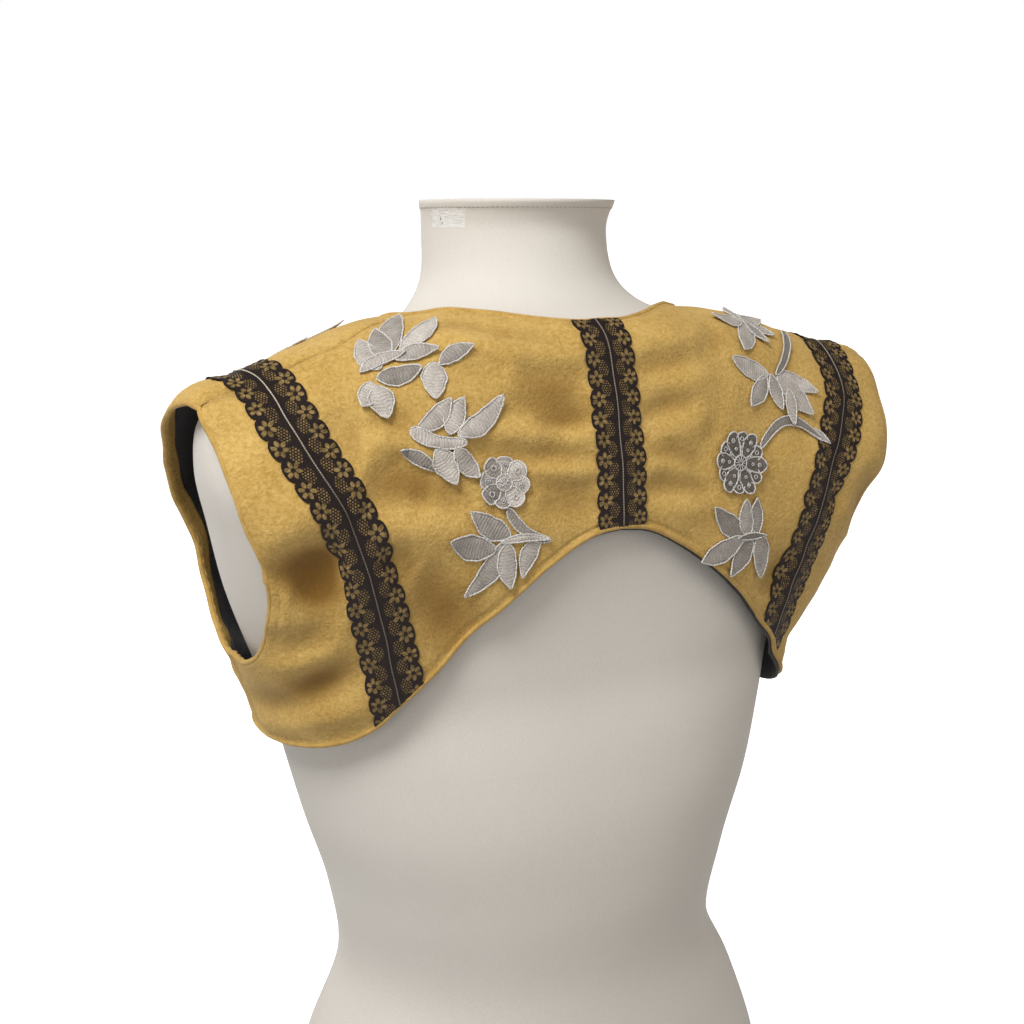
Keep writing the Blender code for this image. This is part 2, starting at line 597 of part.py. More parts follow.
def spray(name, mat, tree, rows, mirror=False):
    """Leaves joined into one appliqué."""
    bodies = []
    for k, (s_foot, deg_foot, s_tip, deg_tip, width, level) in enumerate(rows):
        foot, tip = (s_foot, deg_foot), (s_tip, deg_tip)
        if mirror:
            foot, tip = (s_foot, 180 - deg_foot), (s_tip, 180 - deg_tip)
        bodies.append(add_object(f"{name}_{k}", leaf_body(tree, foot, tip, width, level), mat))
    whole = bodies[0]
    for other in bodies[1:]:
        join = whole.modifiers.new("join", "BOOLEAN")
        join.operation = "UNION"
        join.solver = "EXACT"
        join.object = other
        graph = bpy.context.evaluated_depsgraph_get()
        joined = bpy.data.meshes.new_from_object(whole.evaluated_get(graph))
        whole.modifiers.remove(join)
        old = whole.data
        whole.data = joined
        bpy.data.meshes.remove(old)
        bpy.data.objects.remove(other, do_unlink=True)
    whole.name = name
    whole.data.name = name
    return whole


def dress_form(mat, around=36, rings=23):
    """The limbless form: rings drawn out from the neck's rim down to a flat base."""
    bm = bmesh.new()
    start = bmesh.ops.create_circle(bm, segments=around, radius=1.0, cap_ends=False)["verts"]
    loop = start
    steps = np.linspace(0, len(FORM) - 1, rings + 1)
    degrees = 360 * np.arange(around) / around
    for k, s in enumerate(steps):
        points = form_surface(np.full(around, s), degrees)
        for v, p in zip(loop, points):
            v.co = Vector(p)
        if k < rings:
            edges = [e for e in bm.edges if e.verts[0] in loop and e.verts[1] in loop]
            new = bmesh.ops.extrude_edge_only(bm, edges=edges)["geom"]
            made = [v for v in new if isinstance(v, bmesh.types.BMVert)]
            by_place = {tuple(round(c, 3) for c in v.co): v for v in made}
            loop = [by_place[tuple(round(c, 3) for c in v.co)] for v in loop]
    for ring in (start, loop):
        rim = [e for e in bm.edges if e.verts[0] in ring and e.verts[1] in ring]
        bmesh.ops.contextual_create(bm, geom=rim)
    return add_object("dress_form", bm, mat)


def build():
    for obj in list(bpy.data.objects):
        bpy.data.objects.remove(obj, do_unlink=True)
    mustard = material("mustard_cloth", MUSTARD, 0.9)
    fleece = material("black_fleece", BLACK, 0.95)
    lace = material("black_lace", LACE_BLACK, 0.8)
    silver = material("silver_embroidery", SILVER, 0.6)
    linen = material("form_jersey", LINEN, 0.85)

    dress_form(linen)

    back = panel_grid(ARMHOLE_BACK, NECK, CENTRE_BACK, HEM_BACK, BACK_COLUMNS, 1)
    front = panel_grid(ARMHOLE_FRONT, NECK_FRONT, FRONT_EDGE, HEM_FRONT, FRONT_COLUMNS, -1)
    full_back = np.concatenate([back, mirrored(back)[-2::-1]])

    def back_cells(facing=False, lining=False, left=True, right=True):
        half = cells_of(back, facing, lining)
        return np.concatenate([half & left, half[::-1] & right])

    face = -PANEL - GAP
    middle = len(back) - 1
    panels = [cloth_piece("back_panel", mustard, full_back, back_cells(), -PANEL, 0.0, middle)]
    cloth_piece("lining_back", fleece, full_back, back_cells(lining=True), face - LINING, face, middle)
    for side, turned in (("left", False), ("right", True)):
        f = mirrored(front) if turned else front
        b = back_cells(facing=True, left=not turned, right=turned)
        panels.append(cloth_piece(f"front_{side}", mustard, f, cells_of(f, False, False), -PANEL, 0.0))
        cloth_piece(f"lining_front_{side}", fleece, f, cells_of(f, False, True), face - LINING, face)
        cloth_piece(f"facing_back_{side}", mustard, full_back, b, face - FACING, face, middle)
        cloth_piece(f"facing_front_{side}", mustard, f, cells_of(f, True, False), face - FACING, face)

    tree = tree_of(panels)
    lace_band("lace_centre", lace, tree, LACE_CENTRE, False)
    lace_band("lace_left", lace, tree, LACE_SIDE, False)
    lace_band("lace_right", lace, tree, LACE_SIDE, True)

    spray("leaves_left_upper", silver, tree, SPRAY_LEFT_TOP + SPRAY_LEFT_MIDDLE)
    spray("leaves_left_low", silver, tree, SPRAY_LEFT_LOW)
    spray("flower_left", silver, tree, flower_leaves(*FLOWER_LEFT))
    spray("leaves_right_top", silver, tree, SPRAY_RIGHT_TOP)
    spray("leaves_right_middle", silver, tree, SPRAY_RIGHT_MIDDLE)
    spray("leaves_right_low", silver, tree, SPRAY_RIGHT_LOW)
    spray("leaves_front_left", silver, tree, SPRAY_FRONT)
    spray("leaves_front_right", silver, tree, SPRAY_FRONT, mirror=True)
    spray("flower_right", silver, tree, flower_leaves(*FLOWER_RIGHT))

    # the part stands with the middle of its box over the origin, in metres
    corners = np.array([v.co for obj in bpy.data.objects for v in obj.data.vertices])
    middle = (corners.min(0) + corners.max(0)) / 2
    for obj in bpy.data.objects:
        for v in obj.data.vertices:
            v.co = (v.co - Vector((middle[0], middle[1], 0.0))) * MM
        obj.data.update()


build()
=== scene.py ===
"""The looks of a sleeveless cropped bolero jacket on a limbless dress form.

Sizes in the tables are millimetres and degrees; meshes are written in metres, +Z up. The
wearer's front looks towards -Y and the wearer's left is +X. A place on the cloth is (s, deg):
s counts the rings of the form from the top of the neck down, and deg turns round the body,
0 at the wearer's left, 90 at the centre back, 180 at the right and -90 at the centre front.
"""

from math import cos, pi, radians, sin

import bmesh
import bpy
import numpy as np
from mathutils import Matrix, Vector


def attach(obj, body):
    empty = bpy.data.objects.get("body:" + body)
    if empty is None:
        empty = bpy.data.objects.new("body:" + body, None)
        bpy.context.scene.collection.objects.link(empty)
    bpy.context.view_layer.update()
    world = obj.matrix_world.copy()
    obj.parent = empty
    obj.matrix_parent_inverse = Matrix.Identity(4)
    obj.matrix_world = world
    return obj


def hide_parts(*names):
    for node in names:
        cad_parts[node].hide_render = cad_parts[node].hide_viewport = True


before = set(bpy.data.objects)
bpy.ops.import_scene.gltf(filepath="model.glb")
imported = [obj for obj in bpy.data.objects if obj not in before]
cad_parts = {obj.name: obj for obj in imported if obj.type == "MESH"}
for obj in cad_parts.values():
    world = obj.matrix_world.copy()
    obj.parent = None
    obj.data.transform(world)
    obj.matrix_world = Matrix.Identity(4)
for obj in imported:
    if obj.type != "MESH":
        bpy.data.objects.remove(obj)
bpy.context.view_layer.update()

MM = 0.001
MIDDLE = np.array([0.0, 3.336, 0.0])  # the part stands with this point of the tables over its origin
PLACE_SIZE = np.array([30.0, 3.3])    # about how many millimetres one s and one degree are
LEAST_EASE = 3.6                      # the cloth never comes nearer to the form than this
FINE = 8                              # fine cells to one cell of the solids' panels
BACK_COLUMNS, FRONT_COLUMNS = 10, 8
SHOULDER_ROWS, ARMHOLE_ROWS, SIDE_ROWS = 6, 8, 3
PANEL, LINING, FACING, GAP = 1.4, 1.1, 1.1, 0.3
FACING_WIDTH = 12.0
HEM_STITCH, ARMHOLE_STITCH = 3.1, 5.0    # how far the sewing lies from the edges
RIGHT_FULLNESS, ARM_FULLNESS = 6.0, 6.5  # how much more the right side and the fronts' armholes stand out
FOLD_PAST, FOLD_BOW = 0.16, 0.09         # folds run on by this share of themselves, and bow by this much s
PAINTED_SHADE_FROM, PAINTED_SHADE_SPAN = 0.5, 7.0      # painted shade: from which fold depth the cloth's colour is darkened, and over how much more it is fully darkened
BODY_AXIS = (0.0, 25.0, 0.0)             # the body's upright middle, for telling in from out

FORM = [
    # z_side z_back z_front half_width back front mid square
    (672.0, 672, 672, 57.0, 58.0, 57, -6.5, 2.00),
    (655.0, 655, 655, 55.0, 54.5, 55, -10.0, 2.00),
    (630.0, 630, 626, 58.0, 56.0, 56, -6.0, 2.00),
    (615.0, 613, 598, 70.0, 60.0, 62, 2.5, 2.05),
    (606.0, 607, 584, 89.0, 49.0, 80, 21.5, 2.20),
    (602.0, 595, 565, 118.0, 53.5, 100, 32.0, 2.20),
    (590.5, 575, 545, 150.5, 53.5, 118, 38.0, 2.30),
    (574.0, 554, 522, 184.5, 51.5, 135, 43.0, 2.37),
    (562.0, 528, 500, 207.0, 52.0, 146, 45.0, 2.45),
    (535.0, 503, 478, 211.0, 56.0, 148, 43.5, 2.65),
    (503.0, 478, 455, 203.5, 64.0, 142, 36.0, 2.60),
    (465.0, 448, 432, 193.0, 73.5, 135, 25.0, 2.50),
    (429.0, 419, 410, 179.5, 82.5, 125, 16.0, 2.40),
    (400.0, 396, 388, 168.0, 89.5, 112, 10.5, 2.30),
    (365.0, 362, 358, 160.0, 95.5, 104, 11.0, 2.20),
    (320.0, 320, 320, 149.0, 98.5, 97, 12.5, 2.10),
    (270.0, 270, 270, 134.0, 98.5, 90, 10.5, 2.00),
    (215.0, 215, 215, 127.0, 98.0, 88, 5.0, 2.00),
    (165.0, 165, 165, 150.0, 102.5, 92, 6.0, 2.00),
    (110.0, 110, 110, 168.0, 112.0, 99, 6.0, 2.10),
    (55.0, 55, 55, 174.0, 117.0, 101, 4.0, 2.20),
    (0.0, 0, 0, 172.0, 116.0, 100, 2.0, 2.20),
]

EASE = [
    # s side back30 back60 centre_back front30 front60 centre_front
    (3.0, 4.0, 4.0, 4.0, 4.0, 4.0, 4.0, 4.0),
    (4.0, 4.0, 4.0, 4.0, 4.0, 4.0, 4.0, 4.0),
    (5.0, 4.7, 4.6, 5.4, 5.2, 4.0, 4.0, 4.0),
    (6.0, 6.5, 5.0, 6.2, 6.4, 4.2, 4.0, 4.0),
    (7.0, 11.0, 6.0, 6.6, 8.2, 6.0, 4.0, 4.0),
    (8.0, 17.0, 8.6, 6.8, 11.0, 11.0, 6.0, 5.0),
    (9.0, 17.0, 21.0, 8.2, 9.6, 13.0, 8.0, 6.0),
    (10.0, 15.0, 23.0, 10.0, 9.0, 12.0, 9.0, 6.0),
    (11.0, 13.5, 19.0, 10.0, 9.0, 12.0, 9.0, 6.0),
    (12.0, 12.5, 18.0, 8.0, 8.7, 11.0, 9.0, 6.0),
    (13.0, 12.0, 14.5, 8.6, 8.8, 10.0, 9.0, 6.0),
    (14.0, 12.0, 13.0, 11.5, 9.0, 10.0, 9.0, 6.0),
]

FOLDS = [
    # s_from deg_from s_to deg_to width depth
    # left of the centre lace, from the neckline down
    (4.54, 36.5, 4.86, 59.5, 6.3, -2.8),
    (4.86, 59.5, 5.14, 78.5, 6.3, -3.4),
    (5.18, 47.2, 5.32, 66.5, 7.2, 3.0),
    (5.32, 66.5, 5.42, 81.8, 7.2, 2.8),
    (5.88, 54.2, 5.68, 64.5, 7.2, -2.0),
    (5.84, 68.5, 5.98, 83.2, 8.1, -3.1),
    (6.56, 69.5, 6.68, 84.8, 8.0, -3.6),
    (7.18, 76.0, 7.06, 85.8, 7.0, -2.0),
    (6.90, 75.5, 6.92, 84.8, 4.5, -2.2),
    (7.32, 65.2, 7.26, 85.0, 7.2, 3.0),
    (7.56, 66.5, 7.76, 84.8, 6.3, -3.9),
    (7.98, 75.0, 8.02, 84.5, 6.3, 2.2),
    (8.22, 75.8, 8.34, 85.5, 5.4, -2.5),
    (8.74, 77.2, 8.74, 86.2, 7.2, -2.8),
    # between the left lace and the sprays
    (7.22, 47.5, 7.12, 54.0, 6.3, -3.1),
    (7.58, 48.2, 7.64, 54.2, 7.2, 3.1),
    (7.64, 54.2, 7.72, 60.8, 6.3, 2.0),
    (8.30, 51.5, 8.48, 59.8, 12.5, -5.0),
    (8.48, 58.2, 8.58, 66.0, 11.0, -3.8),
    (9.14, 52.5, 9.02, 64.5, 9.9, 3.8),
    (9.58, 52.5, 9.78, 57.2, 8.1, -3.6),
    (10.02, 57.2, 11.36, 63.0, 14.0, -5.6),
    # between the left armhole and the lace
    (10.12, 35.0, 9.72, 45.0, 12.5, -9.0),
    (10.44, 36.5, 10.40, 44.5, 12.0, -5.5),
    (9.38, 33.8, 9.02, 46.0, 10.8, 3.2),
    (10.80, 29.0, 10.54, 43.0, 7.2, 2.5),
    (11.04, 30.0, 11.04, 40.5, 8.0, -2.0),
    (11.52, 23.8, 11.28, 40.0, 5.4, 1.8),
    (12.80, 6.2, 11.84, 35.5, 8.1, -4.2),
    (12.00, 30.0, 11.58, 44.2, 9.5, -4.6),
    (13.22, 9.5, 12.34, 42.2, 9.0, 3.0),
    (6.68, 24.0, 7.04, 40.8, 8.1, 1.9),
    (7.26, 40.0, 7.92, 50.8, 8.1, -2.1),
    # right of the centre lace, from the neckline down
    (5.28, 101.8, 5.22, 122.8, 8.1, 2.8),
    (5.78, 98.0, 5.62, 117.0, 7.2, -3.1),
    (5.62, 117.0, 5.36, 130.0, 7.2, -2.2),
    (6.30, 98.2, 6.28, 113.5, 7.2, 1.6),
    (6.92, 96.5, 6.82, 107.0, 6.3, -3.1),
    (7.38, 97.8, 7.24, 108.8, 7.2, 2.2),
    (7.72, 96.5, 8.20, 105.5, 6.3, -2.8),
    (8.08, 96.2, 8.52, 103.2, 5.4, 1.9),
    (8.48, 95.0, 8.82, 105.8, 7.2, -3.1),
    (8.94, 96.0, 9.22, 105.0, 7.2, 2.0),
    # about the right lace and the right underarm
    (11.28, 122.5, 10.68, 126.2, 8.1, -3.6),
    (8.18, 122.0, 9.28, 127.2, 8.1, 2.0),
    (9.38, 143.8, 10.50, 147.2, 9.0, -3.6),
    (8.80, 132.0, 10.00, 136.0, 7.2, -2.0),
    (7.00, 138.0, 8.20, 142.0, 8.1, 1.5),
    (11.50, 157.0, 12.90, 146.0, 8.1, -3.6),
    (12.40, 175.0, 13.30, 160.0, 7.2, -3.1),
    (11.80, 168.0, 12.50, 154.0, 6.3, 1.8),
    # the left front
    (9.40, -31.0, 11.00, -40.0, 11.7, -4.5),
    (11.90, -14.0, 13.20, -30.0, 8.1, -3.6),
    (9.80, -62.0, 12.00, -66.0, 11.7, -3.1),
    (5.60, -30.0, 6.40, -48.0, 8.1, 1.5),
    (7.00, -50.0, 8.40, -64.0, 8.1, -2.2),
    (8.40, -28.0, 9.60, -44.0, 7.2, 1.8),
    (10.80, -30.0, 12.40, -50.0, 7.2, 2.0),
    (11.20, -60.0, 12.80, -70.0, 7.2, 1.5),
    (12.40, -10.0, 13.30, -20.0, 5.4, 1.5),
    # the right front
    (9.70, 212.0, 11.20, 222.0, 11.7, -4.2),
    (12.00, 196.0, 13.20, 208.0, 8.1, -3.4),
    (10.00, 241.0, 12.20, 245.0, 11.7, -3.4),
    (5.80, 214.0, 6.60, 230.0, 8.1, 1.5),
    (7.40, 232.0, 8.60, 245.0, 8.1, -2.2),
    (8.60, 212.0, 9.90, 226.0, 7.2, 1.8),
    (11.00, 214.0, 12.20, 232.0, 7.2, 2.0),
    (11.40, 240.0, 12.90, 249.0, 7.2, 1.5),
]

SHOULDER = [(7.95, 9.7), (7.5, 12), (7.0, 12.5), (6.5, 13.5), (6.1, 15.5), (5.7, 16.5), (5.2, 15),
            (4.6, 11.5), (4.0, 8.8)]
NECK = [(4.0, 8.8), (3.72, 25), (3.66, 38), (3.76, 50), (4.0, 62), (4.25, 72), (4.39, 81), (4.38, 90)]
ARMHOLE_BACK = [(7.95, 9.7), (8.26, 18.8), (8.57, 24.5), (9.0, 29.2), (9.62, 32.3), (10.1, 32.5),
                (10.6, 31), (11.2, 26.2), (11.55, 20), (11.8, 10), (11.85, 0)]
ARMHOLE_FRONT = [(7.95, 9.7), (7.98, 0), (8.2, -10), (8.8, -19), (9.5, -24), (10.3, -25), (11.0, -22),
                 (11.55, -14), (11.8, -6), (11.85, 0)]
SIDE = [(11.85, 0), (12.4, 0), (13.0, 0), (13.5, 0)]
HEM_BACK = [(13.5, 0), (13.45, 14), (13.38, 23), (13.29, 31), (13.15, 37), (12.85, 43), (12.35, 48.8),
            (11.92, 54.6), (11.36, 61), (10.6, 69.5), (9.8, 79), (9.37, 85), (9.25, 90)]
CENTRE_BACK = [(4.38, 90), (6.0, 90), (7.6, 90), (9.25, 90)]
NECK_FRONT = [(4.0, 8.8), (4.1, -8), (4.4, -26), (4.9, -44)]
FRONT_EDGE = [(4.9, -44), (5.5, -56), (6.3, -65), (7.3, -71), (8.5, -75.5), (10.0, -78), (11.6, -78),
              (12.6, -75), (13.1, -69)]
HEM_FRONT = [(13.5, 0), (13.5, -15), (13.5, -30), (13.45, -45), (13.35, -58), (13.1, -69)]

# centre lines of the lace bands, as (s, deg) of the left half, a little past the cloth's edges
LACE_SIDE = [(13.47, -55), (11.8, -53), (10.4, -50), (9.2, -45), (8.2, -37), (7.5, -26), (6.95, -14),
             (6.95, -2), (6.92, 12), (7.1, 22), (7.42, 30), (7.93, 38.2), (8.65, 45.4), (9.22, 48.4),
             (10.1, 49.5), (11.0, 49.9), (11.6, 49.3), (12.43, 48.6), (13.1, 47.8)]
LACE_CENTRE = [(4.32, 90), (5.6, 90), (6.8, 90), (8.0, 90), (9.40, 90)]
LACE_HALF = 16.0     # from the lace's centre line to the tip of a scallop
LACE_NOTCH = 2.7     # depth of the notch between two scallops
LACE_PITCH = 11.7    # from one scallop to the next
LACE_STEPS = 12      # cells along one scallop
LACE_ACROSS = 34     # cells across the band
LACE_WALL = 0.55
LACE_FLOWER = 10.8   # from the centre line to the middles of the lace's flowers

# embroidered leaves, each from its foot to its tip; level says how many it lies over,
# tone goes from 0, pale, to 1, dark, and bend is the middle's bow as a share of the length
SPRAY_LEFT_TOP = [
    # s_foot deg_foot s_tip deg_tip width level tone bend
    (6.10, 39.0, 5.58, 24.0, 13, 0, 0.35, 0.05),
    (5.90, 37.2, 5.24, 23.0, 12, 1, 0.60, -0.04),
    (5.78, 38.2, 4.34, 15.2, 12, 0, 0.55, 0.03),
    (5.66, 37.8, 4.46, 34.2, 11, 1, 0.20, -0.06),
    (5.82, 38.8, 5.48, 46.8, 9, 2, 0.55, 0.06),
    (6.32, 40.2, 5.94, 46.8, 11, 0, 0.75, -0.05),
    (6.40, 40.2, 6.92, 43.5, 10, 1, 0.30, 0.04),
    (6.44, 42.0, 7.06, 49.5, 13, 2, 0.25, 0.00),
    (6.26, 35.0, 5.66, 40.0, 7, 2, 0.40, 0.10),
]
SPRAY_LEFT_MIDDLE = [
    (5.82, 49.8, 5.32, 54.0, 8, 1, 0.60, 0.08),
    (5.78, 48.5, 6.58, 55.0, 13, 0, 0.25, 0.00),
    (7.26, 55.8, 6.54, 57.5, 10, 1, 0.40, -0.08),
    (7.30, 60.8, 6.50, 59.8, 11, 1, 0.25, 0.04),
    (7.32, 62.2, 6.40, 66.5, 11, 2, 0.30, -0.10),
    (8.02, 60.8, 7.70, 54.2, 7, 0, 0.65, -0.04),
    (7.64, 59.5, 8.26, 64.0, 12, 1, 0.15, 0.05),
    (7.56, 62.5, 8.12, 67.2, 10, 2, 0.50, -0.05),
]
SPRAY_LEFT_LOW = [
    (9.28, 71.5, 8.82, 65.8, 12, 0, 0.60, 0.05),
    (9.56, 69.0, 9.34, 62.2, 13, 1, 0.60, 0.05),
    (9.44, 70.4, 10.45, 63.6, 11, 0, 0.55, 0.08),
    (9.44, 70.9, 10.30, 70.4, 11, 1, 0.40, -0.05),
    (9.30, 76.0, 10.12, 72.4, 10, 0, 0.35, -0.06),
    (9.40, 69.8, 9.36, 77.2, 4, 2, 0.20, 0.06),
]
SPRAY_RIGHT_TOP = [
    (5.30, 150.0, 5.62, 162.0, 12, 1, 0.35, 0.05),
    (5.28, 149.0, 4.92, 166.0, 10, 0, 0.35, 0.03),
    (5.30, 148.0, 4.84, 137.3, 10, 1, 0.40, 0.05),
    (5.30, 148.5, 5.86, 127.8, 13, 0, 0.45, 0.03),
    (5.30, 149.5, 5.99, 139.4, 9, 2, 0.60, 0.00),
    (5.34, 152.0, 5.95, 149.0, 11, 0, 0.40, 0.05),
]
SPRAY_RIGHT_MIDDLE = [
    (6.62, 129.0, 5.96, 123.4, 12, 0, 0.35, 0.05),
    (6.60, 127.6, 7.20, 118.0, 11, 0, 0.55, 0.05),
    (6.62, 128.8, 7.51, 124.4, 10, 2, 0.50, 0.00),
    (6.64, 131.0, 7.46, 136.0, 10, 0, 0.30, 0.05),
    (6.70, 130.4, 7.90, 130.6, 15, 1, 0.35, 0.00),
    (7.10, 129.4, 7.96, 125.2, 8, 3, 0.30, 0.00),
    (8.22, 128.4, 8.62, 131.6, 5, 1, 0.50, 0.10),
]
SPRAY_RIGHT_LOW = [
    (10.04, 114.6, 9.20, 112.6, 11, 1, 0.45, 0.05),
    (10.04, 116.6, 9.25, 115.1, 11, 0, 0.65, 0.05),
    (10.00, 113.6, 9.22, 106.7, 12, 0, 0.80, 0.05),
    (10.02, 113.6, 10.28, 105.0, 13, 1, 0.60, 0.05),
    (10.06, 115.6, 10.69, 111.7, 13, 0, 0.75, 0.05),
    (10.04, 117.0, 10.90, 119.2, 13, 1, 0.55, 0.05),
    (10.00, 112.2, 10.08, 118.2, 4, 2, 0.90, 0.00),
]
STEMS_LEFT_UPPER = [
    (7.28, 54.3, 7.42, 63.8, 8, 2, 0.30, -0.11),
]
STEMS_LEFT_LOW = [
    (8.74, 71.2, 9.40, 77.6, 6, 1, 0.65, -0.12),
]
STEMS_RIGHT_MIDDLE = [
    (5.92, 159.0, 6.62, 128.5, 6, 2, 0.85, 0.05),
    (8.20, 117.0, 8.46, 130.6, 7, 2, 0.80, 0.28),
]
SPRAY_FRONT = [
    (5.90, -18.0, 5.05, -12.0, 11, 0, 0.40, 0.05),
    (5.90, -18.0, 5.30, -30.0, 11, 1, 0.55, 0.05),
    (5.90, -19.0, 6.30, -31.0, 11, 0, 0.35, 0.05),
    (5.90, -17.0, 6.60, -20.0, 11, 1, 0.50, 0.05),
    (5.70, -15.0, 6.14, -20.5, 6, 2, 0.25, 0.05),
]

# flowers: a ring of petals about one middle
FLOWERS = {
    # s deg radius petals petal_width tone, and the small rings' places and sizes in a petal;
    # a tone past 1 keeps all the petals dark
    "left": (8.22, 70.8, 14.0, 8, 9.5, 0.35, [(0.68, 1.35)]),
    "right": (8.40, 112.4, 18.5, 12, 9.0, 1.3, [(0.76, 1.15), (0.48, 0.8)]),
}


def spline(table, place):
    """Catmull-Rom through the rows of a table, read at fractional row numbers."""
    rows = np.asarray(table, float)
    place = np.clip(np.asarray(place, float), 0, len(rows) - 1)
    first = np.clip(np.floor(place).astype(int), 0, len(rows) - 2)
    u = (place - first).reshape(place.shape + (1,) * (rows.ndim - 1))
    padded = np.concatenate([2 * rows[:1] - rows[1:2], rows, 2 * rows[-1:] - rows[-2:-1]])
    a, b, c, d = (padded[first + k] for k in range(4))
    return 0.5 * (2 * b + (c - a) * u + (2 * a - 5 * b + 4 * c - d) * u**2 + (3 * b - a - 3 * c + d) * u**3)


def form_surface(s, deg):
    """A point of the dress form."""
    z_side, z_back, z_front, half, back, front, mid, square = np.moveaxis(spline(FORM, s), -1, 0)
    turn = np.radians(deg)
    c, n = np.cos(turn), np.sin(turn)
    power = np.where(n > 0, square, 2.0)
    reach = (np.abs(c) ** power + np.abs(n) ** power) ** (-1 / power)
    x = half * c * reach
    y = mid + np.where(n > 0, back, front) * n * reach
    z = z_side + np.where(n > 0, z_back - z_side, z_front - z_side) * n**2
    return np.stack([x, y, z], -1)


def unit(vectors):
    return vectors / (np.linalg.norm(vectors, axis=-1, keepdims=True) + 1e-12)


def normal_of(surface, s, deg):
    """Unit normal of a surface of (s, deg), pointing away from the body."""
    down = surface(s + 0.004, deg) - surface(s - 0.004, deg)
    round_ = surface(s, deg + 0.2) - surface(s, deg - 0.2)
    return unit(np.cross(round_, -down))


def ease_at(s, deg):
    """Ease between the rows of the table, eased over the angle too."""
    table = np.asarray(EASE, float)
    row = spline(table[:, 1:], np.interp(s, table[:, 0], np.arange(len(table))))
    turn = np.radians(deg)
    angle = np.degrees(np.arccos(np.clip(np.abs(np.cos(turn)), 0, 1))) / 30
    low = np.clip(np.floor(angle).astype(int), 0, 2)
    u = np.clip(angle - low, 0, 1)
    u = u * u * (3 - 2 * u)
    at_front = (np.sin(turn) < 0)[..., None]
    picked = np.where(at_front, row[..., [0, 4, 5, 6]], row[..., [0, 1, 2, 3]])
    start = np.take_along_axis(picked, low[..., None], -1)[..., 0]
    end = np.take_along_axis(picked, (low + 1)[..., None], -1)[..., 0]
    at_right = np.exp(-(((deg - 162) / 24) ** 2) - ((s - 8.8) / 1.7) ** 2)
    at_arm = np.exp(-(((angle - 0.75) / 0.55) ** 2) - ((s - 9.7) / 1.3) ** 2)
    at_arm *= np.clip(-8 * np.sin(turn), 0, 1)
    return start + (end - start) * u + RIGHT_FULLNESS * at_right + ARM_FULLNESS * at_arm


def fold_lines(table):
    """Each fold as a slightly bowed row of points that runs on past its ends, with its width and depth."""
    draw = np.random.default_rng(11)
    t = np.linspace(-FOLD_PAST, 1 + FOLD_PAST, 11)
    bow = np.sin(pi * np.clip(t, 0, 1))
    lines = []
    for s0, d0, s1, d1, width, depth in table:
        s = s0 + (s1 - s0) * t + draw.uniform(-FOLD_BOW, FOLD_BOW) * bow
        lines.append((form_surface(s, d0 + (d1 - d0) * t), width, depth))
    return lines


FOLD_LINES = fold_lines(FOLDS)


def fold_height(points):
    """The folds' height over the plain cloth."""
    flat = points.reshape(-1, 3)
    height = np.zeros(len(flat))
    for line, width, depth in FOLD_LINES:
        centre = line.mean(0)
        reach = np.linalg.norm(line - centre, axis=1).max() + 3 * width
        near = np.linalg.norm(flat - centre, axis=1) < reach
        if not near.any():
            continue
        off = flat[near][:, None] - line[:-1]
        span = np.diff(line, axis=0)
        t = np.clip((off * span).sum(-1) / (span * span).sum(-1), 0, 1)
        far = np.linalg.norm(off - t[..., None] * span, axis=-1)
        best = far.argmin(1)
        rows = np.arange(len(best))
        along = (best + t[rows, best]) / len(span)
        taper = np.sin(pi * along) ** 0.75
        wide = width * (0.75 + 0.45 * taper)
        height[near] += 1.12 * depth * taper * np.exp(-((far[rows, best] / wide) ** 2))
    return height.reshape(points.shape[:-1])


def unevenness(points):
    """The slight waviness of soft cloth."""
    draw = np.random.default_rng(7)
    total = np.zeros(points.shape[:-1])
    for _ in range(18):
        way = unit(draw.normal(size=3))
        total += 0.11 * np.sin(points @ way * (2 * pi / draw.uniform(16, 44)) + draw.uniform(0, 2 * pi))
    return total


FIELD_S = np.arange(2.9, 14.7, 0.03)
FIELD_DEG = np.arange(-112.0, 293.0, 0.45)


def cloth_field():
    """The outer cloth's outer face over all places, and the folds' height there."""
    s, deg = np.meshgrid(FIELD_S, FIELD_DEG, indexing="ij")
    base = form_surface(s, deg)
    folds = fold_height(base)
    spare = ease_at(s, deg) + folds + unevenness(base) - LEAST_EASE
    stand = LEAST_EASE + (spare + np.sqrt(spare**2 + 1.0)) / 2
    return base + stand[..., None] * normal_of(form_surface, s, deg), folds[..., None]


CLOTH_FIELD, FOLD_FIELD = cloth_field()


def neighbours(at, line):
    """The first of four neighbours on an even line, and how much each of them counts."""
    place = np.clip((at - line[0]) / (line[1] - line[0]), 1, len(line) - 3.001)
    low = place.astype(int)
    u = place - low
    return low - 1, 0.5 * np.stack([2 * u**2 - u - u**3, 2 - 5 * u**2 + 3 * u**3,
                                    u + 4 * u**2 - 3 * u**3, u**3 - u**2])


def read_between(field, s, deg):
    """A field read smoothly between its points."""
    s, deg = np.broadcast_arrays(np.asarray(s, float), np.asarray(deg, float))
    (row, by_row), (column, by_column) = neighbours(s, FIELD_S), neighbours(deg, FIELD_DEG)
    return sum((by_row[i] * by_column[j])[..., None] * field[row + i, column + j]
               for i in range(4) for j in range(4))


def cloth_surface(s, deg):
    """A point of the outer cloth's outer face."""
    return read_between(CLOTH_FIELD, s, deg)


def length_along(points):
    return np.r_[0, np.cumsum(np.linalg.norm(np.diff(points, axis=0), axis=1))]


def line_between(table, count, start=0.0):
    """count + 1 places on a curve through the table's places, evenly spaced over the cloth."""
    dense = spline(table, np.linspace(0, len(table) - 1, 40 * len(table)))
    length = length_along(cloth_surface(dense[:, 0], dense[:, 1]))
    at = np.linspace(start, length[-1], count + 1)
    return np.stack([np.interp(at, length, dense[:, 0]), np.interp(at, length, dense[:, 1])], -1)


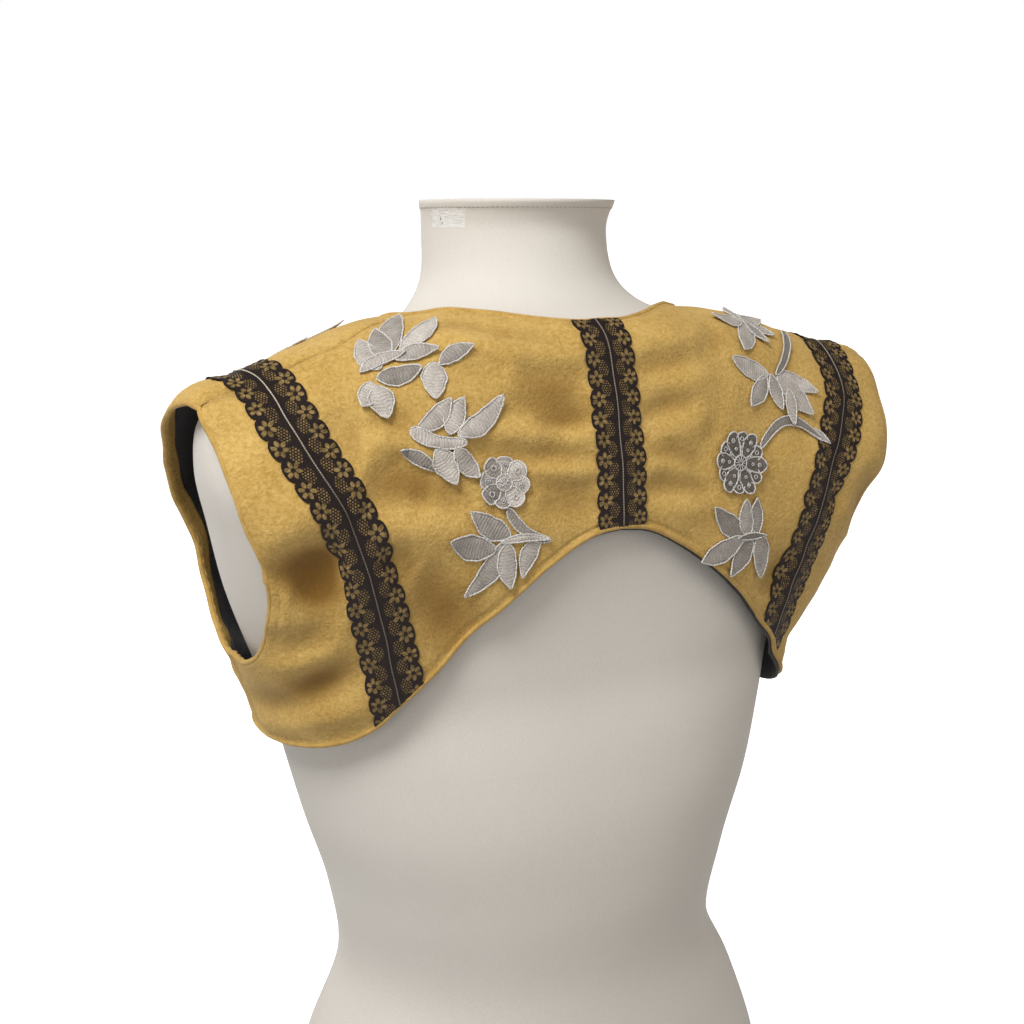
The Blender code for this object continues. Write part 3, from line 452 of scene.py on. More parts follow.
def step_along(place, vector):
    """The place on the cloth reached from places by a short move given in space."""
    place = np.array(place, float)
    target = cloth_surface(place[..., 0], place[..., 1]) + vector
    for _ in range(4):
        s, deg = place[..., 0], place[..., 1]
        rest = target - cloth_surface(s, deg)
        by_s = (cloth_surface(s + 0.01, deg) - cloth_surface(s - 0.01, deg)) / 0.02
        by_deg = (cloth_surface(s, deg + 0.2) - cloth_surface(s, deg - 0.2)) / 0.4
        aa, bb, ab = (by_s * by_s).sum(-1), (by_deg * by_deg).sum(-1), (by_s * by_deg).sum(-1)
        ra, rb = (rest * by_s).sum(-1), (rest * by_deg).sum(-1)
        whole = aa * bb - ab * ab
        place = place + np.stack([(ra * bb - rb * ab) / whole, (rb * aa - ra * ab) / whole], -1)
    return place


def side_of(line, reach):
    """Places beside a line, at its left hand when the normal points at the viewer."""
    points = cloth_surface(line[:, 0], line[:, 1])
    ahead = unit(np.gradient(points, axis=0))
    across = np.cross(normal_of(cloth_surface, line[:, 0], line[:, 1]), ahead)
    return step_along(line, across * np.asarray(reach, float).reshape(-1, 1))


def evened(grid, rounds):
    """A grid of places with its inside points spread evenly between its edges."""
    grid = grid * PLACE_SIZE
    for _ in range(rounds):
        east, west = grid[2:, 1:-1], grid[:-2, 1:-1]
        north, south = grid[1:-1, 2:], grid[1:-1, :-2]
        twist = (grid[2:, 2:] - grid[:-2, 2:] - grid[2:, :-2] + grid[:-2, :-2]) / 4
        over, down = (east - west) / 2, (north - south) / 2
        a = (down * down).sum(-1, keepdims=True)
        b = (over * down).sum(-1, keepdims=True)
        c = (over * over).sum(-1, keepdims=True)
        grid[1:-1, 1:-1] = (a * (east + west) + c * (north + south) - 2 * b * twist) / (2 * (a + c))
    return grid / PLACE_SIZE


def coons(top, left, bottom, right):
    """Grid of places filled in between four edge lines; columns run along the top."""
    u = np.linspace(0, 1, len(top))[:, None, None]
    v = np.linspace(0, 1, len(left))[None, :, None]
    ruled = (1 - v) * top[:, None] + v * bottom[:, None] + (1 - u) * left[None] + u * right[None]
    corners = ((1 - u) * (1 - v) * top[0] + u * (1 - v) * top[-1]
               + (1 - u) * v * bottom[0] + u * v * bottom[-1])
    return ruled - corners


def finer(grid, times):
    """A grid read in between its points along both ways."""
    for axis in (0, 1):
        turned = np.moveaxis(grid, axis, 0)
        at = np.arange((len(turned) - 1) * times + 1) / times
        low = np.minimum(at.astype(int), len(turned) - 2)
        u = (at - low)[:, None, None]
        grid = np.moveaxis(turned[low] * (1 - u) + turned[low + 1] * u, 0, axis)
    return grid


def panel_edges(armhole, neck, inner, hem, columns, turn_side, times):
    """The four edge lines of a half panel, and its armhole edge, with this many cells to a step."""
    hole = line_between(armhole, ARMHOLE_ROWS * times)
    inside = side_of(hole, np.full(len(hole), turn_side * FACING_WIDTH))
    shoulder = line_between(SHOULDER, SHOULDER_ROWS * times, start=FACING_WIDTH)[::-1]
    side = line_between(SIDE, SIDE_ROWS * times, start=FACING_WIDTH)
    left = np.concatenate([shoulder, inside[1:-1], side])
    edge = np.concatenate([shoulder[:-1], hole, side[1:]])
    return (line_between(neck, columns * times), left, line_between(hem, columns * times),
            line_between(inner, len(left) - 1)), edge


def panel_grid(*lines):
    """Places of one half panel: the facing's columns first, then the rest in to the centre."""
    rough = evened(coons(*panel_edges(*lines, 1)[0]), 200)
    (top, left, bottom, right), edge = panel_edges(*lines, FINE)
    grid = finer(rough, FINE)
    grid[:, 0], grid[:, -1], grid[0], grid[-1] = top, bottom, left, right
    grid = evened(grid, 160)
    share = np.arange(FINE)[:, None, None] / FINE
    return np.concatenate([edge[None] + (left - edge)[None] * share, grid])


def mirrored(places):
    """The same places on the wearer's right, where the jacket hangs lower at the side."""
    s, deg = places[..., 0], 180 - places[..., 1]
    low = np.clip((s - 11.9) / 1.6, 0, 1)
    droop = 0.5 * low * low * (3 - 2 * low) * np.exp(-(((deg - 168) / 30) ** 2))
    return np.stack([s + droop, deg], -1)


def cells_of(grid, facing=False, lining=False):
    """Which cells of a half panel a piece covers."""
    keep = np.ones((grid.shape[0] - 1, grid.shape[1] - 1), bool)
    keep[:FINE, :SHOULDER_ROWS * FINE] = False
    keep[:FINE, (SHOULDER_ROWS + ARMHOLE_ROWS) * FINE:] = False
    if facing:
        keep[FINE:] = False
    if lining:
        keep[:FINE] = False
    return keep


def facing_out(points, s, deg):
    """Normals of a grid of points, all pointing away from the body."""
    n = unit(np.cross(np.gradient(points, axis=0), np.gradient(points, axis=1)))
    middle = tuple(k // 2 for k in n.shape[:2])
    out = normal_of(form_surface, s[middle], deg[middle])
    return n if n[middle] @ out > 0 else -n


def nearest(points, line):
    """Distance from each point to the nearest of a line's points."""
    flat = points.reshape(-1, 3)
    far = np.concatenate([np.linalg.norm(part[:, None] - line, axis=-1).min(1)
                          for part in np.array_split(flat, max(1, len(flat) // 2000))])
    return far.reshape(points.shape[:-1])


def new_piece(name, bm, mats):
    """A finished piece from a bmesh in the tables' millimetres; it rides with the part."""
    for v in bm.verts:
        v.co = (v.co - Vector(MIDDLE)) * MM
    for f in bm.faces:
        f.smooth = True
    mesh = bpy.data.meshes.new(name)
    bm.to_mesh(mesh)
    bm.free()
    for mat in mats:
        mesh.materials.append(mat)
    obj = bpy.data.objects.new(name, mesh)
    bpy.context.scene.collection.objects.link(obj)
    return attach(obj, "root")


def laid_grid(bm, points, keep=None, closed=(False, False), mark=None):
    """A created grid moved onto a grid of points; closed ways are welded into rings.

    mark is an array of three values for each point, kept in the layer "place".
    """
    columns, rows = points.shape[0] - 1, points.shape[1] - 1
    layer = bm.verts.layers.float_vector.get("place") or bm.verts.layers.float_vector.new("place")
    verts = bmesh.ops.create_grid(bm, x_segments=columns, y_segments=rows, size=1.0)["verts"]
    cells = {}
    for v in verts:
        i, j = round((v.co.x + 1) / 2 * columns), round((v.co.y + 1) / 2 * rows)
        cells[v] = (i, j)
    if keep is not None:
        faces = {f for v in verts for f in v.link_faces}
        gone = [f for f in faces
                if not keep[min(cells[v][0] for v in f.verts), min(cells[v][1] for v in f.verts)]]
        bmesh.ops.delete(bm, geom=gone, context="FACES")
        verts = [v for v in verts if v.is_valid]
    for v in verts:
        v.co = Vector(points[cells[v]])
        if mark is not None:
            v[layer] = Vector(mark[cells[v]])
    if any(closed):
        bmesh.ops.remove_doubles(bm, verts=verts, dist=1e-4)


def tube(bm, path, radius, sides=6, closed=False, out=None, mark=(0.0, 0.0, 0.0)):
    """A round cord along a path over the cloth, whose normals are out."""
    if closed:
        path = np.concatenate([path, path[:1]])
        out = np.concatenate([out, out[:1]])
        ahead = unit(np.gradient(np.concatenate([path[-2:-1], path, path[1:2]]), axis=0)[1:-1])
    else:
        ahead = unit(np.gradient(path, axis=0))
    across = unit(np.cross(out, ahead))
    over = np.cross(ahead, across)
    turn = 2 * pi * np.arange(sides + 1) / sides
    radius = np.broadcast_to(radius, len(path))[:, None, None]
    ring = (np.cos(turn)[None, :, None] * across[:, None]
            + np.sin(turn)[None, :, None] * over[:, None]) * radius
    points = path[:, None] + ring
    marks = np.broadcast_to(np.asarray(mark, float), points.shape).copy()
    marks[..., 0] = length_along(path)[:, None]
    if not closed:
        points = np.concatenate([np.repeat(path[:1, None], sides + 1, 1), points,
                                 np.repeat(path[-1:, None], sides + 1, 1)])
        marks = np.concatenate([marks[:1], marks, marks[-1:]])
    laid_grid(bm, points, closed=(closed, True), mark=marks)


def wall(name, points, keep, mats, thickness, mark=None):
    """A sheet of cloth: its outer face is given, and the wall goes inwards from it."""
    bm = bmesh.new()
    laid_grid(bm, points, keep, mark=mark)
    bm.normal_update()
    axis = Vector(BODY_AXIS)
    lean = sum(f.normal.dot((f.calc_center_median() - axis) * Vector((1, 1, 0))) for f in bm.faces)
    if lean < 0:
        bmesh.ops.reverse_faces(bm, faces=bm.faces[:])
    obj = new_piece(name, bm, mats)
    solid = obj.modifiers.new("thickness", "SOLIDIFY")
    solid.thickness = thickness * MM
    solid.offset = -1.0
    solid.use_even_offset = False
    return obj


# materials

RIB_PITCH, RIB_SLANT = 1.7, 0.12   # the leaves' ribs of thread, in millimetres, and how they lean to the tip
# the lace's pattern, in millimetres: its net, its plain stripe, and the petals and ovals,
# with each one's distance from its middle, half length and half width
NET_PITCH, STRIPE_HALF = 1.35, 2.3
PETAL_AT, PETAL_LONG, PETAL_WIDE = 2.9, 1.9, 1.25
OVAL_AT, OVAL_LONG, OVAL_WIDE = 5.6, 5.3, 3.5


class Sum:
    """A number worked out by a material's nodes."""

    def __init__(self, tree, value):
        self.tree, self.value = tree, value

    def step(self, operation, *others):
        node = self.tree.nodes.new("ShaderNodeMath")
        node.operation = operation
        for socket, given in zip(node.inputs, (self, *others)):
            given = given.value if isinstance(given, Sum) else given
            if isinstance(given, (int, float)):
                socket.default_value = given
            else:
                self.tree.links.new(given, socket)
        return Sum(self.tree, node.outputs[0])

    def __add__(self, other):
        return self.step("ADD", other)

    def __sub__(self, other):
        return self.step("SUBTRACT", other)

    def __mul__(self, other):
        return self.step("MULTIPLY", other)

    def __truediv__(self, other):
        return self.step("DIVIDE", other)

    def rise(self, low, high):
        """0 below low, 1 above high."""
        node = self.tree.nodes.new("ShaderNodeMapRange")
        node.inputs["From Min"].default_value = low
        node.inputs["From Max"].default_value = high
        self.tree.links.new(self.value, node.inputs["Value"])
        return Sum(self.tree, node.outputs["Result"])

    def flipped(self):
        return Sum(self.tree, self.step("MULTIPLY", -1.0).step("ADD", 1.0).value)


def finish(name, colour, roughness, sheen=0.0, sheen_tint=(1, 1, 1, 1), sheen_roughness=0.4):
    mat = bpy.data.materials.new(name)
    mat.use_nodes = True
    tree = mat.node_tree
    shader = tree.nodes["Principled BSDF"]
    shader.inputs["Base Color"].default_value = (*colour, 1)
    shader.inputs["Roughness"].default_value = roughness
    shader.inputs["Sheen Weight"].default_value = sheen
    shader.inputs["Sheen Tint"].default_value = sheen_tint
    shader.inputs["Sheen Roughness"].default_value = sheen_roughness
    shader.inputs["Specular IOR Level"].default_value = 0.25
    return mat, tree, shader


def place_of(tree):
    """The three marks of a piece as numbers."""
    attribute = tree.nodes.new("ShaderNodeAttribute")
    attribute.attribute_name = "place"
    parts = tree.nodes.new("ShaderNodeSeparateXYZ")
    tree.links.new(attribute.outputs["Vector"], parts.inputs[0])
    return [Sum(tree, parts.outputs[k]) for k in range(3)]


def noise(tree, scale, detail=2.0, roughness=0.5, stretch=(1, 1, 1)):
    """Noise on the object's own coordinates, in features to the metre."""
    where = tree.nodes.new("ShaderNodeTexCoord")
    mapping = tree.nodes.new("ShaderNodeMapping")
    mapping.inputs["Scale"].default_value = stretch
    made = tree.nodes.new("ShaderNodeTexNoise")
    made.inputs["Scale"].default_value = scale
    made.inputs["Detail"].default_value = detail
    made.inputs["Roughness"].default_value = roughness
    tree.links.new(where.outputs["Object"], mapping.inputs["Vector"])
    tree.links.new(mapping.outputs["Vector"], made.inputs["Vector"])
    return Sum(tree, made.outputs["Fac"])


def mixed(tree, share, first, second):
    """A colour between two, each a colour or a socket."""
    node = tree.nodes.new("ShaderNodeMix")
    node.data_type = "RGBA"
    tree.links.new(share.value, node.inputs["Factor"])
    for name, given in (("A", first), ("B", second)):
        socket = next(k for k in node.inputs if k.name == name and k.type == "RGBA")
        if isinstance(given, tuple):
            socket.default_value = (*given, 1)
        else:
            tree.links.new(given, socket)
    return next(k for k in node.outputs if k.type == "RGBA")


def bumped(tree, shader, height, depth):
    bump = tree.nodes.new("ShaderNodeBump")
    bump.inputs["Distance"].default_value = depth * MM
    bump.inputs["Strength"].default_value = 1.0
    tree.links.new(height.value, bump.inputs["Height"])
    tree.links.new(bump.outputs["Normal"], shader.inputs["Normal"])


def mustard_nap_and_painted_shade():
    """Brushed mustard cloth with painted shade in the fold troughs; its mark's first value is how much
    painted shade a point gets.
    """
    mat, tree, shader = finish("mustard_nap_and_painted_shade", (0.6, 0.38, 0.11), 0.85, 0.14, (1.0, 0.82, 0.45, 1), 0.5)
    broad = noise(tree, 30.0, 2.0)
    nap = noise(tree, 260.0, 4.0, 0.7, (1.0, 1.0, 1.7))
    grain = noise(tree, 620.0, 3.0, 0.7)
    painted_shade = place_of(tree)[0]
    tone = (broad * 0.3 + nap * 0.55 + grain * 0.65).rise(0.52, 0.98)
    cloth = mixed(tree, tone, (0.41, 0.238, 0.046), (0.71, 0.485, 0.160))
    # painted shade: the cloth colour is mixed towards dark brown by the first mark, where the folds sink in
    cloth_with_painted_shade = mixed(tree, painted_shade.rise(0.0, 1.0), cloth, (0.23, 0.115, 0.016))
    tree.links.new(cloth_with_painted_shade, shader.inputs["Base Color"])
    bumped(tree, shader, nap * 0.6 + grain, 0.7)
    return mat


def mustard_edge():
    """The same cloth where it is rolled over an edge."""
    mat, tree, shader = finish("mustard_edge", (0.6, 0.38, 0.11), 0.85, 0.14, (1.0, 0.82, 0.45, 1), 0.5)
    grain = noise(tree, 1200.0, 2.0, 0.6)
    tone = (grain * 0.6 + noise(tree, 200.0) * 0.5).rise(0.35, 0.75)
    tree.links.new(mixed(tree, tone, (0.40, 0.235, 0.050), (0.62, 0.41, 0.13)), shader.inputs["Base Color"])
    bumped(tree, shader, grain, 0.35)
    return mat


def fleece():
    mat, tree, shader = finish("black_fleece", (0.012, 0.012, 0.013), 0.95, 0.25, (0.6, 0.6, 0.65, 1), 0.6)
    curl = noise(tree, 700.0, 3.0, 0.7)
    tone = curl.rise(0.35, 0.7)
    tree.links.new(mixed(tree, tone, (0.006, 0.006, 0.007), (0.03, 0.03, 0.032)), shader.inputs["Base Color"])
    bumped(tree, shader, curl, 0.8)
    return mat


def jersey():
    """The form's off-white jersey. Its marks are the ring of the form and the angle round it."""
    mat, tree, shader = finish("form_jersey", (0.78, 0.76, 0.73), 0.85, 0.1, (1, 1, 1, 1), 0.5)
    ring, angle, _ = place_of(tree)
    knit = noise(tree, 900.0, 2.0, 0.5, (2.2, 2.2, 0.5))
    soft = noise(tree, 9.0, 2.0)
    speck = noise(tree, 2600.0, 1.0)
    tone = (knit * 0.6 + soft * 0.4 + speck * 0.25).rise(0.35, 0.85)
    skin = mixed(tree, tone, (0.63, 0.595, 0.55), (0.725, 0.695, 0.65))
    patch = (ring.rise(0.28, 0.31) * ring.rise(0.92, 0.96).flipped()
             * angle.rise(0.0, 1.0) * angle.rise(30.0, 31.0).flipped())
    coarse = noise(tree, 420.0, 2.0, 0.5, (0.5, 0.5, 2.5)).rise(0.3, 0.7)
    woven = mixed(tree, coarse, (0.66, 0.65, 0.63), (0.84, 0.83, 0.81))
    spots = noise(tree, 300.0, 2.0).rise(0.66, 0.70)
    spotted = mixed(tree, spots, woven, (0.30, 0.27, 0.24))
    tree.links.new(mixed(tree, patch, skin, spotted), shader.inputs["Base Color"])
    hem = ring.rise(0.26, 0.31).flipped() * 2.0
    bumped(tree, shader, knit * 0.7 + speck * 0.4 + patch * coarse + hem, 0.2)
    return mat


def lace_net():
    """Black lace. Its marks are scallops along, millimetres across, and millimetres to its edge."""
    mat, tree, shader = finish("black_lace", (0.03, 0.018, 0.02), 0.85)
    along, across, margin = place_of(tree)
    across = across.step("ABSOLUTE")
    p = along * LACE_PITCH + (noise(tree, 160.0) - 0.5) * 0.9
    wave = lambda x: (x * (2 * pi / NET_PITCH)).step("COSINE")
    lattice = wave(p) + wave(p * 0.5 + across * 0.866) + wave(p * 0.5 - across * 0.866)
    net = lattice.rise(-0.25, 0.45)
    # a fan flower of six petals in each scallop
    dx = ((along + 0.5).step("FRACT") - 0.5) * LACE_PITCH
    dy = across - LACE_FLOWER
    r = (dx * dx + dy * dy).step("SQRT") * (noise(tree, 240.0) * 0.5 + 0.75)
    turn = dy.step("ARCTAN2", dx) * (6 / (2 * pi))
    beside = ((turn + 0.5).step("FRACT") - 0.5) * (2 * pi / 6)
    out = (r * beside.step("COSINE") - PETAL_AT) / PETAL_LONG
    side = r * beside.step("SINE") / PETAL_WIDE
    petals = (out * out + side * side).step("SQRT").rise(0.85, 1.05).flipped()
    # an oval of fine net between two flowers, beside the middle stripe
    ex = (along.step("FRACT") - 0.5) * (LACE_PITCH / OVAL_LONG)
    ey = (across - OVAL_AT) / OVAL_WIDE
    in_oval = (ex * ex + ey * ey).step("SQRT").rise(0.86, 0.94).flipped()
    hole = (petals + net * in_oval).step("MINIMUM", 1.0)
    hole = hole * across.rise(STRIPE_HALF, STRIPE_HALF + 0.3) * margin.rise(0.95, 1.25)
    # painted shade: the holes show the mustard cloth below them, painted much darker than that cloth, as the
    # shade inside the holes
    under = mixed(tree, noise(tree, 420.0).rise(0.3, 0.7), (0.09, 0.055, 0.017), (0.31, 0.21, 0.08))
    thread = mixed(tree, noise(tree, 1500.0).rise(0.35, 0.7), (0.004, 0.0025, 0.0025), (0.022, 0.011, 0.009))
    tree.links.new(mixed(tree, hole, thread, under), shader.inputs["Base Color"])
    bumped(tree, shader, hole.flipped(), 0.6)
    return mat


def embroidered():
    """Thread fill. Its marks are millimetres along, millimetres across, and tone."""
    mat, tree, shader = finish("silver_thread", (0.5, 0.48, 0.46), 0.5, 0.3, (1, 1, 1, 1), 0.3)
    along, across, tone = place_of(tree)
    across = across.step("ABSOLUTE")
    wobble = noise(tree, 260.0, 2.0) * 9.0
    ribs = ((along + across * RIB_SLANT) * (2 * pi / RIB_PITCH) + wobble).step("SINE") * 0.5 + 0.5
    strands = noise(tree, 1500.0, 2.0, 0.6)
    thread = ribs * 0.17 + strands * 0.85 + noise(tree, 150.0) * 0.6 - 0.18
    pale = mixed(tree, thread.rise(0.25, 0.95), (0.34, 0.30, 0.265), (0.90, 0.845, 0.79))
    dark = mixed(tree, thread.rise(0.25, 1.05), (0.022, 0.019, 0.017), (0.21, 0.18, 0.15))
    tree.links.new(mixed(tree, tone, pale, dark), shader.inputs["Base Color"])
    bumped(tree, shader, ribs * 0.5 + strands, 0.3)
    return mat


def white_cord():
    mat, tree, shader = finish("white_cord", (0.8, 0.77, 0.74), 0.5, 0.3, (1, 1, 1, 1), 0.3)
    along = place_of(tree)[0]
    twist = (along * (2 * pi / 0.9)).step("SINE") * 0.3 + noise(tree, 900.0, 2.0, 0.6) * 0.9
    tree.links.new(mixed(tree, twist.rise(0.1, 0.75), (0.30, 0.28, 0.27), (0.88, 0.86, 0.84)),
                   shader.inputs["Base Color"])
    bumped(tree, shader, twist, 0.15)
    return mat


def bead():
    mat, tree, shader = finish("smoky_bead", (0.35, 0.35, 0.36), 0.15)
    tree.links.new(mixed(tree, noise(tree, 400.0).rise(0.3, 0.7), (0.12, 0.12, 0.13), (0.6, 0.6, 0.62)),
                   shader.inputs["Base Color"])
    shader.inputs["Coat Weight"].default_value = 0.5
    return mat


def sewing_thread():
    mat, tree, shader = finish("mustard_thread", (0.30, 0.16, 0.03), 0.6)
    tree.links.new(mixed(tree, noise(tree, 900.0).rise(0.3, 0.7), (0.24, 0.13, 0.03), (0.40, 0.23, 0.06)),
                   shader.inputs["Base Color"])
    return mat


def rim_thread():
    mat, tree, shader = finish("grey_thread", (0.4, 0.38, 0.35), 0.6)
    tree.links.new(mixed(tree, noise(tree, 900.0).rise(0.3, 0.7), (0.28, 0.26, 0.24), (0.45, 0.43, 0.40)),
                   shader.inputs["Base Color"])
    return mat


def cream_thread():
    """The lace's middle thread, dull where its second mark says so and far along its length."""
    mat, tree, shader = finish("cream_thread", (0.5, 0.44, 0.36), 0.5, 0.3, (1, 1, 1, 1), 0.3)
    along, dull, _ = place_of(tree)
    twist = (along * (2 * pi / 1.4)).step("SINE") * 0.5 + 0.5
    fade = (dull + along.rise(330.0, 400.0)).step("MINIMUM", 1.0)
    bright = mixed(tree, twist, (0.30, 0.26, 0.20), (0.66, 0.60, 0.48))
    worn = mixed(tree, twist, (0.05, 0.038, 0.03), (0.17, 0.135, 0.10))
    tree.links.new(mixed(tree, fade, bright, worn), shader.inputs["Base Color"])
    return mat


CLOTH, EDGE, FLEECE, JERSEY = mustard_nap_and_painted_shade(), mustard_edge(), fleece(), jersey()
LACE, FILL, CORD, BEAD = lace_net(), embroidered(), white_cord(), bead()
STITCH, CREAM, RIM_STITCH = sewing_thread(), cream_thread(), rim_thread()


# the cloth

back = panel_grid(ARMHOLE_BACK, NECK, CENTRE_BACK, HEM_BACK, BACK_COLUMNS, 1)
front = panel_grid(ARMHOLE_FRONT, NECK_FRONT, FRONT_EDGE, HEM_FRONT, FRONT_COLUMNS, -1)


def points_on(line, height=0.0):
    """Points and normals over a row of places."""
    points = cloth_surface(line[:, 0], line[:, 1])
    out = normal_of(cloth_surface, line[:, 0], line[:, 1])
    return points + height * out, out


hole_back, hole_front = line_between(ARMHOLE_BACK, 160), line_between(ARMHOLE_FRONT, 160)
EDGES = {
    "neck": points_on(line_between(NECK, 120))[0], "hem_back": points_on(line_between(HEM_BACK, 200))[0],
    "neck_front": points_on(line_between(NECK_FRONT, 60))[0],
    "front_edge": points_on(line_between(FRONT_EDGE, 160))[0],
    "hem_front": points_on(line_between(HEM_FRONT, 140))[0],
    "shoulder": points_on(line_between(SHOULDER, 100))[0], "side": points_on(line_between(SIDE, 50))[0],
    "hole_back": points_on(hole_back)[0], "hole_front": points_on(hole_front)[0],
}


def sewn_face(grid, edges, seams, hole, turned):
    """The outer face of a half panel, drawn down along its stitching, and its marks."""
    s, deg = grid[..., 0], grid[..., 1]
    points = cloth_surface(s, deg)
    out = facing_out(points, s, deg)
    flip = np.array([-1.0, 1.0, 1.0]) if turned else 1.0
    edge = np.minimum.reduce([nearest(points, EDGES[k] * flip) for k in edges])
    seam = np.minimum.reduce([nearest(points, EDGES[k] * flip) for k in seams])
    arm = nearest(points, EDGES[hole] * flip)
    drop = 0.9 * np.exp(-(((edge - HEM_STITCH) / 0.9) ** 2)) + 0.9 * np.exp(-((seam / 1.2) ** 2))
    drop += 0.45 * np.exp(-(((arm - ARMHOLE_STITCH) / 0.9) ** 2)) + 1.0 * np.clip(1 - arm / 2.2, 0, 1) ** 2
    # painted shade: how much the cloth's colour is darkened, growing with how far a fold sinks below the
    # plain cloth
    painted_shade = np.clip((-read_between(FOLD_FIELD, s, deg)[..., 0] - PAINTED_SHADE_FROM) / PAINTED_SHADE_SPAN, 0, 1)
    mark = np.stack([painted_shade, edge, arm], -1)
    return points - drop[..., None] * out, out, mark


back_lines = ("neck", "hem_back"), ("shoulder", "side"), "hole_back"
back_face, back_out, back_mark = sewn_face(back, *back_lines, False)
right_face, right_out, right_mark = sewn_face(mirrored(back), *back_lines, True)
whole_face = np.concatenate([back_face, right_face[-2::-1]])
whole_out = np.concatenate([back_out, right_out[-2::-1]])
whole_mark = np.concatenate([back_mark, right_mark[-2::-1]])
half = cells_of(back)
cloth_back = wall("cloth_back", whole_face, np.concatenate([half, half[::-1]]), [CLOTH],
                  PANEL, whole_mark)
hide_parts("back_panel")


def inner_grid(face, out, columns, drop, past):
    """A coarser grid under a face; its lower edge goes past the hem, by these two lengths at its ends."""
    grid = (face - drop * out)[columns, ::2]
    share = np.linspace(0, 1, len(grid)) ** 2
    beyond = grid[:, -1] + unit(grid[:, -1] - grid[:, -2]) * (past[0] + (past[1] - past[0]) * share)[:, None]
    return np.concatenate([grid, beyond[:, None]], axis=1)


LAYER = PANEL + GAP


def line_with(name, node, face, out, keep_columns, past):
    points = inner_grid(face, out, keep_columns, LAYER, past)
    piece = wall(name, points, None, [FLEECE], LINING)
    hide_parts(node)


last = len(whole_face) - 1
line_with("fleece_back", "lining_back", whole_face, whole_out, slice(FINE, last - FINE + 1, 2), (1.6, 5.5))


def turn_in(name, node, face, out, mark, first):
    """The turned facing: the panel's own armhole strip, laid under it."""
    columns = slice(0, FINE + 1) if first else slice(len(face) - FINE - 1, len(face))
    rows = slice(SHOULDER_ROWS * FINE, (SHOULDER_ROWS + ARMHOLE_ROWS) * FINE + 1)
    points = (face - LAYER * out)[columns, rows]
    # the facing gets three tenths of the panel's painted shade
    piece = wall(name, points, None, [CLOTH], FACING, mark[columns, rows] * [0.3, 1, 1])
    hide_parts(node)


turn_in("facing_cloth_back_left", "facing_back_left", whole_face, whole_out, whole_mark, True)
turn_in("facing_cloth_back_right", "facing_back_right", whole_face, whole_out, whole_mark, False)

for side, turned in (("left", False), ("right", True)):
    grid = mirrored(front) if turned else front
    face, out, mark = sewn_face(grid, ("neck_front", "front_edge", "hem_front"), ("shoulder", "side"),
                                "hole_front", turned)
    piece = wall(f"cloth_front_{side}", face, cells_of(grid), [CLOTH], PANEL, mark)
    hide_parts(f"front_{side}")
    line_with(f"fleece_front_{side}", f"lining_front_{side}", face, out, slice(FINE, None, 2),
              (4.5, 1.6) if turned else (1.6, 1.6))
    turn_in(f"facing_cloth_front_{side}", f"facing_front_{side}", face, out, mark, True)


# rolled edges

def rolled(name, line, drop, radius, closed=True):
    points, out = points_on(line, -drop)
    bm = bmesh.new()
    stop = -1 if closed else None
    tube(bm, points[:stop], radius, sides=10, closed=closed, out=out[:stop])
    bmesh.ops.recalc_face_normals(bm, faces=bm.faces[:])
    return new_piece(name, bm, [EDGE])


def contour():
    """The jacket's whole outer edge: back hem, right front, neckline, left front."""
    hem, neck = line_between(HEM_BACK, 200), line_between(NECK, 120)
    low, rise = line_between(HEM_FRONT, 140), line_between(FRONT_EDGE, 160)
    top = line_between(NECK_FRONT, 60)
    right = [mirrored(part) for part in (low, rise[::-1], top[::-1], neck)]
    left = [neck[::-1], top, rise, low[::-1]]
    parts = [hem, mirrored(hem)[::-1], *right, *left]
    return np.concatenate([parts[0]] + [part[1:] for part in parts[1:]])


rolled("rolled_edge", contour(), 0.8, 1.6)
for side in ("left", "right"):
    loop = np.concatenate([hole_back, hole_front[::-1][1:]])
    rolled(f"armhole_fold_{side}", mirrored(loop) if side == "right" else loop, 1.5, 1.5)


# stitching

def stitches(name, lines, mats, length=2.2, gap=1.1, radius=0.2):
    """Short threads along lines of points with their normals."""
    bm = bmesh.new()
    layer = bm.verts.layers.float_vector.new("place")
    for points, out in lines:
        at = length_along(points)
        for start in np.arange(gap, at[-1] - length, length + gap):
            middle = start + length / 2
            p = Vector([np.interp(middle, at, points[:, k]) for k in range(3)])
            q = Vector([np.interp(middle + 0.5, at, points[:, k]) for k in range(3)])
            n = Vector([np.interp(middle, at, out[:, k]) for k in range(3)])
            x = (q - p).normalized()
            y = n.cross(x).normalized()
            turn = Matrix((x * length / 2, y * radius, x.cross(y) * radius)).transposed().to_4x4()
            bmesh.ops.create_uvsphere(bm, u_segments=6, v_segments=4, radius=1.0,
                                      matrix=Matrix.Translation(p) @ turn @ Matrix.Rotation(pi / 2, 4, "Y"))
    return new_piece(name, bm, mats)


lines = []
for hole, side in ((hole_back, 1), (hole_front, -1)):
    inner = side_of(hole, np.full(len(hole), side * ARMHOLE_STITCH))[6:-6]
    for places in (inner, mirrored(inner)):
        lines.append(points_on(places, -0.45))
        lines.append(points_on(places, -PANEL - GAP - FACING - 0.5))
stitches("armhole_stitching", lines, [STITCH])


# lace

